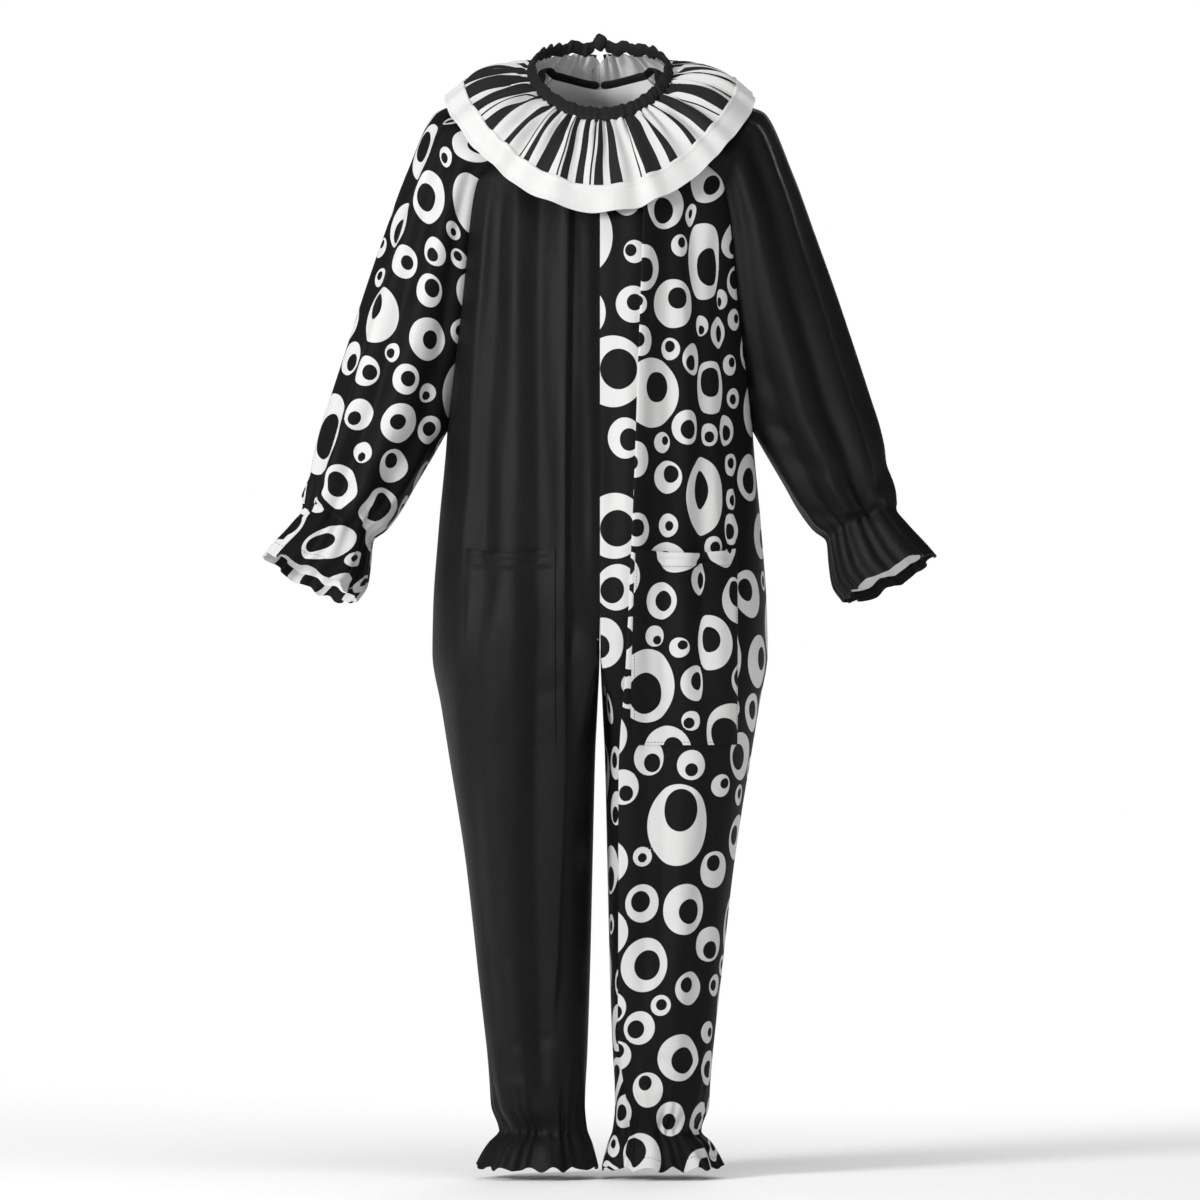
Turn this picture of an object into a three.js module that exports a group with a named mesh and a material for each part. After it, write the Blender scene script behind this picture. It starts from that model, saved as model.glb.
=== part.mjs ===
// A clown costume for an adult, filled out as worn: a gathered jumpsuit with raglan sleeves, elasticated
// wrists and ankles that end in frills, two patch pockets, and a separate striped ruff tied at the back
// of the neck. Millimetres, +Z up, the front faces -Y, and the origin is at the middle of the neck
// opening. "right" and "left" are the wearer's: the right side has negative X.
import * as THREE from "three";

// ---- cloth and seams ----
const WALL = 1.5; // knitted cloth with its nap
const BINDING_WALL = 2.4; // doubled and folded tape
const SEAM_GAP = 0.3;

// ---- heights ----
const UNDERARM_Z = -462;
const SEAT_SEAM_TOP_Z = -690; // where the centre seams start to curve under
const CROTCH_Z = -745;
const ANKLE_ELASTIC_Z = -1351;
const HEM_Z = -1400;

// ---- neckline of the jumpsuit ----
const FRONT_NECK_DROP = 22; // centre front lies this far below the raglan seam's top
const BACK_NECK_DROP = 12;
const NECK_BAND_HEIGHT = 11;
const BACK_SLIT = { half_gap: 3, bottom_z: -150 };

// ---- how finely the cloth is cut up ----
const FRONT_COLUMNS = 11;
const BACK_COLUMNS = 8;
const SLEEVE_COLUMNS = 14;
const POCKET_COLUMNS = 10;
const RUFF_COLUMNS = 40;

const BODY_ROUNDNESS = 2.2; // exponent of the superellipse: 2 is an ellipse, more is squarer
const LEG_ROUNDNESS = 2.3;

// Half of the jumpsuit in horizontal sections. outer is the half width, inner the gap from the middle
// plane to the inside of the leg, front and back the depths, mid the centre that the section turns
// about, and round how far the inside corner of the section is rounded off.
const SECTIONS = [
  { z: -14, outer: 92, inner: 0, front: 48, back: 58, mid: 0, round: 0 },
  { z: -30, outer: 104, inner: 0, front: 51, back: 66, mid: 0, round: 0 },
  { z: -66, outer: 140, inner: 0, front: 58, back: 90, mid: 0, round: 0 },
  { z: -105, outer: 172, inner: 0, front: 84, back: 108, mid: 0, round: 0 },
  { z: -145, outer: 188, inner: 0, front: 117, back: 121, mid: 0, round: 0 },
  { z: -208, outer: 187, inner: 0, front: 139, back: 128, mid: 0, round: 0 },
  { z: -335, outer: 189, inner: 0, front: 148, back: 128, mid: 0, round: 0 },
  { z: -462, outer: 194, inner: 0, front: 150, back: 124, mid: 0, round: 0 },
  { z: -589, outer: 205, inner: 0, front: 150, back: 130, mid: 0, round: 0 },
  { z: -690, outer: 212, inner: 0, front: 146, back: 136, mid: 70, round: 0 },
  { z: -745, outer: 213, inner: 0.3, front: 138, back: 130, mid: 98, round: 0 },
  { z: -812, outer: 202, inner: 3, front: 126, back: 116, mid: 102, round: 0.45 },
  { z: -875, outer: 192, inner: 6, front: 114, back: 105, mid: 99, round: 0.8 },
  { z: -1000, outer: 172, inner: 9, front: 97, back: 92, mid: 90, round: 1 },
  { z: -1130, outer: 157, inner: 12, front: 82, back: 80, mid: 84, round: 1 },
  { z: -1255, outer: 143, inner: 16, front: 70, back: 68, mid: 79, round: 1 },
  { z: -1320, outer: 136, inner: 19, front: 61, back: 59, mid: 77, round: 1 },
  { z: -1351, outer: 125, inner: 16, front: 47, back: 46, mid: 71, round: 1 },
  { z: -1368, outer: 138, inner: 10, front: 58, back: 56, mid: 74, round: 1 },
  { z: -1400, outer: 153, inner: 2, front: 72, back: 68, mid: 77, round: 1 },
];

// The raglan seams: how far out they lie, and at what height on the front and on the back.
const RAGLAN = [
  { out: 62, front_z: -66, back_z: -14 },
  { out: 98, front_z: -98, back_z: -50 },
  { out: 130, front_z: -124, back_z: -92 },
  { out: 156, front_z: -150, back_z: -140 },
  { out: 166, front_z: -208, back_z: -208 },
  { out: 172, front_z: -272, back_z: -272 },
  { out: 179, front_z: -335, back_z: -335 },
  { out: 187, front_z: -399, back_z: -399 },
  { out: 194, front_z: -462, back_z: -462 },
];

// The sleeve above the underarm: each ring starts and ends on the raglan seams and passes over the
// shoulder. outer is its furthest point, which lies a little behind the middle, and depth half its size
// from front to back.
const SHOULDER = [
  { outer_x: 80, outer_y: 10, outer_z: -17, depth: 50 },
  { outer_x: 123, outer_y: 16, outer_z: -34, depth: 74 },
  { outer_x: 165, outer_y: 20, outer_z: -45, depth: 82 },
  { outer_x: 206, outer_y: 22, outer_z: -57, depth: 86 },
  { outer_x: 243, outer_y: 18, outer_z: -136, depth: 88 },
  { outer_x: 271, outer_y: 14, outer_z: -213, depth: 86 },
  { outer_x: 295, outer_y: 10, outer_z: -281, depth: 84 },
  { outer_x: 318, outer_y: 5, outer_z: -351, depth: 82 },
  { outer_x: 340, outer_y: 0, outer_z: -418, depth: 80 },
];

// The sleeve below the underarm: whole rings between the inside and the outside of the arm. ahead is how
// far the arm reaches forward, and lift how far the front of the ring stands above its back.
const ARM = [
  { inner_x: 213, inner_z: -497, outer_x: 353, outer_z: -458, depth: 78, ahead: 4, lift: 2 },
  { inner_x: 232, inner_z: -530, outer_x: 362, outer_z: -495, depth: 74, ahead: 9, lift: 4 },
  { inner_x: 252, inner_z: -563, outer_x: 369, outer_z: -527, depth: 66, ahead: 14, lift: 6 },
  { inner_x: 273, inner_z: -589, outer_x: 373, outer_z: -549, depth: 54, ahead: 19, lift: 8 },
  { inner_x: 289, inner_z: -602, outer_x: 374, outer_z: -563, depth: 38, ahead: 23, lift: 9 },
  { inner_x: 298, inner_z: -626, outer_x: 389, outer_z: -584, depth: 46, ahead: 26, lift: 11 },
  { inner_x: 308, inner_z: -655, outer_x: 408, outer_z: -606, depth: 54, ahead: 29, lift: 13 },
  { inner_x: 315, inner_z: -679, outer_x: 422, outer_z: -623, depth: 58, ahead: 32, lift: 15 },
];

// The largest folds of the front, down lines given by their x at four heights. A negative depth is a
// trough.
const FRONT_FOLDS = [
  { chest: -132, waist: -176, thigh: -182, ankle: -120, depth: -9, width: 13, top: -110, bottom: -640 },
  { chest: -97, waist: -102, thigh: -110, ankle: -86, depth: -12, width: 17, top: -110, bottom: -1330 },
  { chest: -48, waist: -48, thigh: -52, ankle: -62, depth: 9, width: 17, top: -120, bottom: -1300 },
  { chest: 0, waist: 0, thigh: 0, ankle: 0, depth: -13, width: 24, top: -110, bottom: -800 },
  { chest: 51, waist: 44, thigh: 36, ankle: 34, depth: 11, width: 15, top: -120, bottom: -1330 },
  { chest: 84, waist: 84, thigh: 80, ankle: 70, depth: -7, width: 16, top: -130, bottom: -1200 },
  { chest: 118, waist: 128, thigh: 130, ankle: 105, depth: -8, width: 14, top: -150, bottom: -900 },
];
const BACK_FOLDS = [
  { chest: -128, waist: -150, thigh: -160, ankle: -110, depth: -9, width: 17, top: -110, bottom: -800 },
  { chest: -70, waist: -84, thigh: -96, ankle: -80, depth: -11, width: 19, top: -110, bottom: -1320 },
  { chest: 0, waist: 0, thigh: 0, ankle: 0, depth: -10, width: 26, top: -160, bottom: -790 },
  { chest: 62, waist: 74, thigh: 88, ankle: 74, depth: -12, width: 18, top: -110, bottom: -1320 },
  { chest: 124, waist: 146, thigh: 158, ankle: 112, depth: -8, width: 16, top: -110, bottom: -860 },
];
const FOLD_LEVELS = { chest: -180, waist: -480, thigh: -850, ankle: -1300 };

// The largest folds of a sleeve, by their angle round the arm in degrees: 0 is its front and 90 its
// outside.
const SLEEVE_FOLDS = [
  { shoulder: -25, cuff: -48, depth: -8, width: 16, top: 0.06, bottom: 0.84 },
  { shoulder: 22, cuff: 12, depth: -9, width: 15, top: 0.06, bottom: 0.86 },
  { shoulder: 62, cuff: 58, depth: -6, width: 14, top: 0.1, bottom: 0.86 },
  { shoulder: 128, cuff: 134, depth: -8, width: 18, top: 0.06, bottom: 0.86 },
  { shoulder: 192, cuff: 206, depth: -8, width: 18, top: 0.1, bottom: 0.84 },
];

// Gathers where elastic draws the cloth in, and the waves that they leave in each frill.
const ANKLE_GATHER = { waves: 7, depth: 2.2, frill_depth: 4.5, reach: 70, hem_wave: 4 };
const WRIST_GATHER = { waves: 6, depth: 2, frill_depth: 4 };

// Patch pockets: their sides by their distance from the middle.
const POCKET = { top_z: -612, bottom_z: -862, stand_off: 3 };
const POCKET_SIDES = {
  right: { near: 56, far: 170 },
  left: { near: 34, far: 172 },
};

// The ruff, by an angle round the neck that is 0 at the centre front. Each edge is given at front, side
// and back.
const RUFF = {
  top: { half_width: 83, front: 70, back: 67, front_z: -57, side_z: 4, back_z: 30 },
  neck: { half_width: 92, front: 80, back: 71, front_z: -73, side_z: -9, back_z: 14 },
  edge: { half_width: 196, front: 152, back: 150, front_z: -190, side_z: -43, back_z: -86 },
  border_from: 0.735,
  bulge: { front: 8, side: 12, back: 13 },
  pleats: 12,
  pleat_depth: { neck: 2, edge: 3.6 },
};
// Half of the opening at the centre back, across the ruff from its neck edge to its outer edge.
const RUFF_OPENING = [
  { along: 0, half_gap: 10 },
  { along: 0.24, half_gap: 1.2 },
  { along: 1, half_gap: 3 },
];
const KNOT = { width: 17.6, depth: 11, height: 19, bevel: 2 };
const TIE_END = { width: 12, from: 0.05, to: 0.36, spread: 0.16, stand_off: 6, steps: 5 };

// ---- small tools ----
const { lerp, clamp, smoothstep } = THREE.MathUtils;
const RIGHT = -1;
const LEFT = 1;

// The value of one column of a table at a height or share between its rows, with rounded changes of
// slope.
function along(table, key, column, at) {
  const down = table[0][key] > table[table.length - 1][key];
  const rows = down ? [...table].reverse() : table;
  const last = rows.length - 1;
  if (at <= rows[0][key]) return rows[0][column];
  if (at >= rows[last][key]) return rows[last][column];
  const i = rows.findIndex((row, n) => n < last && at <= rows[n + 1][key]);
  const step = (n) => (rows[n + 1][column] - rows[n][column]) / (rows[n + 1][key] - rows[n][key]);
  const tangent = (n) => {
    if (n === 0 || n === last) return n === 0 ? step(0) : step(last - 1);
    const before = step(n - 1);
    const after = step(n);
    return before * after <= 0 ? 0 : (2 * before * after) / (before + after);
  };
  const span = rows[i + 1][key] - rows[i][key];
  const t = (at - rows[i][key]) / span;
  const [m0, m1] = [tangent(i) * span, tangent(i + 1) * span];
  const [t2, t3] = [t * t, t * t * t];
  return (
    (2 * t3 - 3 * t2 + 1) * rows[i][column] +
    (t3 - 2 * t2 + t) * m0 +
    (3 * t2 - 2 * t3) * rows[i + 1][column] +
    (t3 - t2) * m1
  );
}

const sectionAt = (z) =>
  Object.fromEntries(
    Object.keys(SECTIONS[0]).map((column) => [column, column === "z" ? z : along(SECTIONS, "z", column, z)]),
  );

const superRadius = (angle, across, deep, power) =>
  (Math.abs(Math.cos(angle) / across) ** power + Math.abs(Math.sin(angle) / deep) ** power) ** (-1 / power);

// ---- the jumpsuit's body and legs ----

// Distance from the section's centre to the cloth. The angle is 0 at the side seam, 90 degrees at the
// front or back, and 180 at the inside of the leg, where the section is a box whose corner rounds off
// down the leg.
function bodyRadius(s, deep, angle) {
  if (angle <= Math.PI / 2) {
    return superRadius(angle, s.outer - s.mid, deep, lerp(BODY_ROUNDNESS, LEG_ROUNDNESS, s.round));
  }
  const across = Math.max(s.mid - s.inner, 0.001);
  const box = Math.min(across / Math.abs(Math.cos(angle)), deep / Math.sin(angle));
  return lerp(box, superRadius(angle, across, deep, LEG_ROUNDNESS), s.round);
}

const depthOf = (s, face) => (face < 0 ? s.front : s.back);

// The angle, up to a last one, at which the cloth lies at this distance from the middle.
function angleAtX(s, face, x, last) {
  let [low, high] = [0, last];
  for (let n = 0; n < 40; n++) {
    const middle = (low + high) / 2;
    if (s.mid + Math.cos(middle) * bodyRadius(s, depthOf(s, face), middle) > x) low = middle;
    else high = middle;
  }
  return (low + high) / 2;
}

// The angle at which a panel stops: at the middle above the seat seam, and at the inside leg seam below
// the crotch.
function innerAngle(s, face) {
  const under = clamp((SEAT_SEAM_TOP_Z - s.z) / (SEAT_SEAM_TOP_Z - CROTCH_Z), 0, 1);
  const reach = depthOf(s, face) * Math.sqrt(1 - under * under);
  return Math.PI - Math.atan2(reach, s.mid - s.inner);
}

// The angle at which a panel starts: at the side seam, and on the raglan seam above the underarm.
function seamAngle(s, face) {
  if (s.z <= UNDERARM_Z) return 0;
  const out = along(RAGLAN, face < 0 ? "front_z" : "back_z", "out", s.z);
  return angleAtX(s, face, out, Math.PI / 2);
}

function foldDepth(folds, x, z) {
  let depth = 0;
  for (const fold of folds) {
    const line = Object.entries(FOLD_LEVELS).map(([level, at]) => ({ z: at, x: fold[level] }));
    const away = (x - along(line, "z", "x", z)) / fold.width;
    const begun = smoothstep(-z, -fold.top, 60 - fold.top);
    const fade = begun * (1 - smoothstep(-z, -fold.bottom - 120, -fold.bottom));
    depth += fold.depth * fade * Math.exp(-away * away);
  }
  return depth;
}

// Waves round the ankle, deepest in the frill and dying out up the leg.
function ankleWave(angle, z, face) {
  const { waves, depth, frill_depth, reach } = ANKLE_GATHER;
  const above = 1 - smoothstep(z - ANKLE_ELASTIC_Z, 0, reach);
  const below = smoothstep(ANKLE_ELASTIC_Z - z, 0, ANKLE_ELASTIC_Z - HEM_Z);
  const size = z > ANKLE_ELASTIC_Z ? depth * above : lerp(depth, frill_depth, below);
  return size * Math.cos(waves * angle * face);
}

// A point of the body's cloth on one side. face is -1 for the front and 1 for the back.
function bodyPoint(side, face, angle, z) {
  const s = sectionAt(z);
  const deep = depthOf(s, face);
  const radius = bodyRadius(s, deep, angle);
  const x = s.mid + radius * Math.cos(angle);
  const y = radius * Math.sin(angle);
  const legs = smoothstep(-z, -SEAT_SEAM_TOP_Z, 900);
  const turned = new THREE.Vector2(x / s.outer ** 2, y / deep ** 2).normalize();
  turned.lerp(new THREE.Vector2(Math.cos(angle), Math.sin(angle)), legs).normalize();
  const clear = smoothstep(angle - seamAngle(s, face), 0, 0.3);
  const outside = angle > Math.PI / 2 ? smoothstep(y / deep, 0.1, 0.8) : 1;
  const folds = face < 0 ? FRONT_FOLDS : BACK_FOLDS;
  const moved = foldDepth(folds, side * x, z) * clear * outside + ankleWave(angle, z, face);
  const out = Math.max(x + turned.x * moved, s.inner);
  return new THREE.Vector3(side * out, face * (y + turned.y * moved), z);
}

const LEG_LEVELS = [-965, -1090, -1210, -1300, -1332, ANKLE_ELASTIC_Z, -1366, -1383, HEM_Z];
const SEAT_LEVELS = [SEAT_SEAM_TOP_Z, -716, -736, CROTCH_Z];
const POCKET_LEVELS = [POCKET.top_z, -650, ...SEAT_LEVELS, -767, -805, POCKET.bottom_z];
const BELOW_UNDERARM = [-537, ...POCKET_LEVELS, ...LEG_LEVELS];
// Of a panel's columns, those that turn in to the middle seam or round the inside of the leg.
const INNER_COLUMNS = 3;
const INNER_WIDTH = 27;

// The angle of a column at this height: most columns run straight down the panel, and the last few turn
// inwards.
function columnAngle(z, face, first, c, columns) {
  const s = sectionAt(z);
  const last = innerAngle(s, face);
  const width = lerp(INNER_WIDTH, 0.45 * s.mid, smoothstep(-z, -SEAT_SEAM_TOP_Z, 1000));
  const turn = angleAtX(s, face, width, last);
  const straight = columns - INNER_COLUMNS;
  return c <= straight ? lerp(first, turn, c / straight) : lerp(turn, last, (c - straight) / INNER_COLUMNS);
}

const raglanLevels = (face) => RAGLAN.map((row) => (face < 0 ? row.front_z : row.back_z));
const levelsOf = (face) => [...raglanLevels(face), ...BELOW_UNDERARM];

// One quarter of the jumpsuit: rows run across the panel from its outer seam to its inner one, from the
// neck down.
function panelGrid(side, face, columns) {
  const drop = face < 0 ? FRONT_NECK_DROP : BACK_NECK_DROP;
  const levels = levelsOf(face);
  return levels.map((level) => {
    const tilt = smoothstep(level, -300, levels[0]);
    const first = seamAngle(sectionAt(level), face);
    const row = [];
    for (let c = 0; c <= columns; c++) {
      const share = c / columns;
      const z = level - drop * tilt * Math.sin((share * Math.PI) / 2) ** 1.5;
      const angle = columnAngle(z, face, first, c, columns);
      const point = bodyPoint(side, face, angle, z);
      if (level === HEM_Z) point.z += ANKLE_GATHER.hem_wave * Math.cos(ANKLE_GATHER.waves * angle * 2);
      if (face > 0 && c === columns && z > BACK_SLIT.bottom_z) {
        point.x = side * BACK_SLIT.half_gap * (1 - z / BACK_SLIT.bottom_z);
      }
      row.push(point);
    }
    return row;
  });
}

// ---- the sleeves ----

// Rings of a sleeve as {middle, ahead, out, start}: a point is middle + ahead cos(angle) + out
// sin(angle), from the start angle round to its mirror, and start is -90 degrees on a whole ring.
function sleeveRings(side) {
  const seam = (face, out, z) => {
    const s = sectionAt(z);
    const angle = seamAngle(s, face);
    return new THREE.Vector3(side * out, face * Math.sin(angle) * bodyRadius(s, depthOf(s, face), angle), z);
  };
  const shoulder = SHOULDER.map((row, r) => {
    const { out, front_z, back_z } = RAGLAN[r];
    const front = seam(-1, out, front_z);
    const back = seam(1, out, back_z);
    const base = front.clone().lerp(back, 0.5);
    const reach = new THREE.Vector3(side * row.outer_x, row.outer_y, row.outer_z).sub(base);
    const half = (back.y - front.y) / 2;
    const depth = Math.max(row.depth, half);
    const k = Math.sqrt(1 - (half / depth) ** 2);
    const inset = k / (1 + k);
    return {
      middle: base.clone().addScaledVector(reach, inset),
      ahead: new THREE.Vector3(0, -depth, half > 1 ? ((front.z - back.z) * depth) / (2 * half) : 0),
      out: reach.clone().multiplyScalar(1 - inset),
      start: -Math.asin(k),
    };
  });
  const arm = ARM.map((row) => {
    const inner = new THREE.Vector3(side * row.inner_x, -row.ahead, row.inner_z);
    const outer = new THREE.Vector3(side * row.outer_x, -row.ahead, row.outer_z);
    return {
      middle: inner.clone().lerp(outer, 0.5),
      ahead: new THREE.Vector3(0, -row.depth, row.lift),
      out: outer.clone().sub(inner).multiplyScalar(0.5),
      start: -Math.PI / 2,
    };
  });
  return [...shoulder, ...arm];
}

function sleeveGrid(side) {
  const rings = sleeveRings(side);
  const gather = SHOULDER.length + 4;
  return rings.map((ring, r) => {
    const down = r / (rings.length - 1);
    const row = [];
    for (let c = 0; c <= SLEEVE_COLUMNS; c++) {
      const angle = lerp(ring.start, Math.PI - ring.start, c / SLEEVE_COLUMNS);
      const spoke = ring.ahead
        .clone()
        .multiplyScalar(Math.cos(angle))
        .addScaledVector(ring.out, Math.sin(angle));
      const edge = Math.min(angle - ring.start, Math.PI - ring.start - angle);
      let moved = 0;
      for (const fold of SLEEVE_FOLDS) {
        const line = lerp(fold.shoulder, fold.cuff, down);
        const away = (THREE.MathUtils.radToDeg(angle) - line) / fold.width;
        const begun = smoothstep(down, fold.top, fold.top + 0.15);
        const fade = begun * (1 - smoothstep(down, fold.bottom - 0.1, fold.bottom));
        moved += fold.depth * fade * Math.exp(-away * away);
      }
      moved *= smoothstep(edge, 0, 0.4);
      if (r >= gather) {
        const frill = (r - gather) / (rings.length - 1 - gather);
        const size = lerp(WRIST_GATHER.depth, WRIST_GATHER.frill_depth, frill);
        moved += size * Math.cos(WRIST_GATHER.waves * (angle + Math.PI / 2)) * smoothstep(edge, 0, 0.3);
      }
      row.push(ring.middle.clone().add(spoke).addScaledVector(spoke.clone().normalize(), moved));
    }
    return row;
  });
}

// ---- the ruff ----

const ringHeight = (ring, angle) => {
  const c = Math.cos(angle);
  const slope = (ring.front_z - ring.back_z) / 2;
  const bend = (ring.front_z + ring.back_z) / 2 - ring.side_z;
  return ring.side_z + slope * c + bend * c * c;
};

const ringPoint = (ring, angle) =>
  new THREE.Vector3(
    ring.half_width * Math.sin(angle),
    -Math.cos(angle) * (Math.cos(angle) > 0 ? ring.front : ring.back),
    ringHeight(ring, angle),
  );

function ruffBulge(angle) {
  const c = Math.cos(angle);
  return lerp(RUFF.bulge.side, c > 0 ? RUFF.bulge.front : RUFF.bulge.back, c * c);
}

// The direction that stands off the ruff's slope at this angle.
function ruffNormal(angle) {
  const slope = ringPoint(RUFF.edge, angle).sub(ringPoint(RUFF.neck, angle));
  const round = ringPoint(RUFF.edge, angle + 0.01).sub(ringPoint(RUFF.edge, angle - 0.01));
  const normal = new THREE.Vector3().crossVectors(slope, round).normalize();
  return normal.z < 0 ? normal.negate() : normal;
}

function ruffPoint(angle, share) {
  const point = ringPoint(RUFF.neck, angle).lerp(ringPoint(RUFF.edge, angle), share);
  const pleat = lerp(RUFF.pleat_depth.neck, RUFF.pleat_depth.edge, share) * Math.cos(RUFF.pleats * angle);
  return point.addScaledVector(ruffNormal(angle), ruffBulge(angle) * Math.sin(Math.PI * share) + pleat);
}

// Angles round the neck from one side of the back opening to the other.
function ruffAngle(column, columns, ring, halfGap) {
  const end = Math.PI - halfGap / ring.half_width;
  return lerp(-end, end, column / columns);
}

function ruffGrid(shares) {
  return shares.map((share) => {
    const halfWidth = lerp(RUFF.neck.half_width, RUFF.edge.half_width, share);
    const halfGap = along(RUFF_OPENING, "along", "half_gap", share);
    const row = [];
    for (let c = 0; c <= RUFF_COLUMNS; c++) {
      row.push(ruffPoint(ruffAngle(c, RUFF_COLUMNS, { half_width: halfWidth }, halfGap), share));
    }
    return row;
  });
}

// The black tape round the ruff's neck edge, from its free top edge down to the stripes.
function ruffBindingGrid() {
  const columns = RUFF_COLUMNS;
  return [0, 1].map((share) => {
    const row = [];
    for (let c = 0; c <= columns; c++) {
      const angle = ruffAngle(c, columns, RUFF.neck, RUFF_OPENING[0].half_gap);
      const foot = ruffPoint(angle, 0);
      const head = ringPoint(RUFF.top, angle);
      row.push(head.lerp(foot, share));
    }
    return row;
  });
}

// ---- walls ----

// Unit normals of a grid of points, all on one side of it.
function gridNormals(grid) {
  return grid.map((row, r) =>
    row.map((_, c) => {
      const across = row[Math.min(c + 1, row.length - 1)].clone().sub(row[Math.max(c - 1, 0)]);
      const down = grid[Math.min(r + 1, grid.length - 1)][c].clone().sub(grid[Math.max(r - 1, 0)][c]);
      return across.cross(down).normalize();
    }),
  );
}

// A panel of cloth: its points, its normals turned outwards, and how thick it is.
function panel(name, grid, outward, thickness = WALL) {
  const normals = gridNormals(grid);
  const r = Math.floor(grid.length / 2);
  const c = Math.floor(grid[0].length / 2);
  if (normals[r][c].dot(outward(grid[r][c])) < 0) normals.forEach((row) => row.forEach((n) => n.negate()));
  return { name, grid, normals, thickness };
}

const onEdge = (grid, r, c) => r === 0 || c === 0 || r === grid.length - 1 || c === grid[0].length - 1;
const placeKey = (p) => [p.x, p.y, p.z].map((v) => (Math.round(v * 10) / 10 + 0).toFixed(1)).join(" ");

// Where panels meet in a seam they share one mitre, so that their walls stay apart on the inside too.
function mitreSeams(panels) {
  const meeting = new Map();
  const eachOf = (p, visit) =>
    p.grid.forEach((row, r) => row.forEach((at, c) => onEdge(p.grid, r, c) && visit(p, at, r, c)));
  const each = (visit) => panels.forEach((p) => eachOf(p, visit));
  each((p, at, r, c) => {
    const key = placeKey(at);
    if (!meeting.has(key)) meeting.set(key, []);
    meeting.get(key).push(p.normals[r][c].clone());
  });
  each((p, at, r, c) => {
    const own = p.normals[r][c].clone();
    const alike = meeting.get(placeKey(at)).filter((n) => n.dot(own) > 0.1);
    const sum = alike.reduce((total, n) => total.add(n), new THREE.Vector3()).normalize();
    p.normals[r][c] = sum.multiplyScalar(1 / Math.max(0.6, sum.dot(own)));
  });
}

// The grid with its edges drawn in by half a seam gap along the cloth.
function drawnIn(grid) {
  const last = { r: grid.length - 1, c: grid[0].length - 1 };
  return grid.map((row, r) =>
    row.map((at, c) => {
      const moved = at.clone();
      const pull = (to) => moved.addScaledVector(to.clone().sub(at).normalize(), SEAM_GAP / 2);
      if (r === 0) pull(grid[1][c]);
      if (r === last.r) pull(grid[r - 1][c]);
      if (c === 0) pull(row[1]);
      if (c === last.c) pull(row[c - 1]);
      return moved;
    }),
  );
}

// A closed wall between a grid of outer points and the same points moved in along their normals.
function wallMesh({ name, grid, normals, thickness }, material) {
  const outer = drawnIn(grid);
  const rows = outer.length;
  const columns = outer[0].length;
  const points = [];
  outer.forEach((row) => row.forEach((p) => points.push(p)));
  const inside = (p, r, c) => p.clone().addScaledVector(normals[r][c], -thickness);
  outer.forEach((row, r) => row.forEach((p, c) => points.push(inside(p, r, c))));
  const id = (r, c, within) => (within ? rows * columns : 0) + r * columns + c;
  const faces = [];
  const quad = (a, b, c, d) => faces.push([a, b, c], [a, c, d]);
  for (let r = 0; r < rows - 1; r++) {
    for (let c = 0; c < columns - 1; c++) {
      quad(id(r, c), id(r, c + 1), id(r + 1, c + 1), id(r + 1, c));
      quad(id(r, c, true), id(r + 1, c, true), id(r + 1, c + 1, true), id(r, c + 1, true));
    }
    const c = columns - 1;
    quad(id(r, 0), id(r + 1, 0), id(r + 1, 0, true), id(r, 0, true));
    quad(id(r, c), id(r, c, true), id(r + 1, c, true), id(r + 1, c));
  }
  for (let c = 0; c < columns - 1; c++) {
    const r = rows - 1;
    quad(id(0, c), id(0, c, true), id(0, c + 1, true), id(0, c + 1));
    quad(id(r, c), id(r, c + 1), id(r, c + 1, true), id(r, c, true));
  }
  const six = ([a, b, c]) => points[a].dot(points[b].clone().cross(points[c]));
  const volume = faces.reduce((sum, face) => sum + six(face) / 6, 0);
  if (volume < 0) faces.forEach((face) => face.reverse());
  const geometry = new THREE.BufferGeometry();
  const numbers = points.flatMap((p) => [p.x, p.y, p.z]);
  geometry.setAttribute("position", new THREE.Float32BufferAttribute(numbers, 3));
  geometry.setIndex(faces.flat());
  geometry.computeVertexNormals();
  const mesh = new THREE.Mesh(geometry, material);
  mesh.name = name;
  return mesh;
}

// ---- what lies on the panels ----

// A pocket follows its front row by row, and its columns pass through every column of the front that it
// covers.
function pocketGrid(front, side) {
  const { near, far } = POCKET_SIDES[side < 0 ? "right" : "left"];
  const rows = front.grid
    .map((row, r) => ({ row, normals: front.normals[r] }))
    .filter(({ row }) => row[0].z <= POCKET.top_z && row[0].z >= POCKET.bottom_z);
  return rows.map(({ row, normals }) => {
    const columnAt = (x) => {
      const c = row.findIndex((at, n) => n > 0 && Math.abs(at.x) < x);
      return c - 1 + (Math.abs(row[c - 1].x) - x) / (Math.abs(row[c - 1].x) - Math.abs(row[c].x));
    };
    const [first, last] = [columnAt(far), columnAt(near)];
    const placeOf = (_, n) => lerp(first, last, n / POCKET_COLUMNS);
    const places = Array.from({ length: POCKET_COLUMNS + 1 }, placeOf);
    for (let c = Math.ceil(first + 0.3); c <= last - 0.3; c++) {
      places[Math.round(((c - first) / (last - first)) * POCKET_COLUMNS)] = c;
    }
    return places.map((place) => {
      const c = Math.min(Math.floor(place), row.length - 2);
      const normal = normals[c].clone().lerp(normals[c + 1], place - c).normalize();
      return row[c].clone().lerp(row[c + 1], place - c).addScaledVector(normal, WALL + POCKET.stand_off);
    });
  });
}

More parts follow.
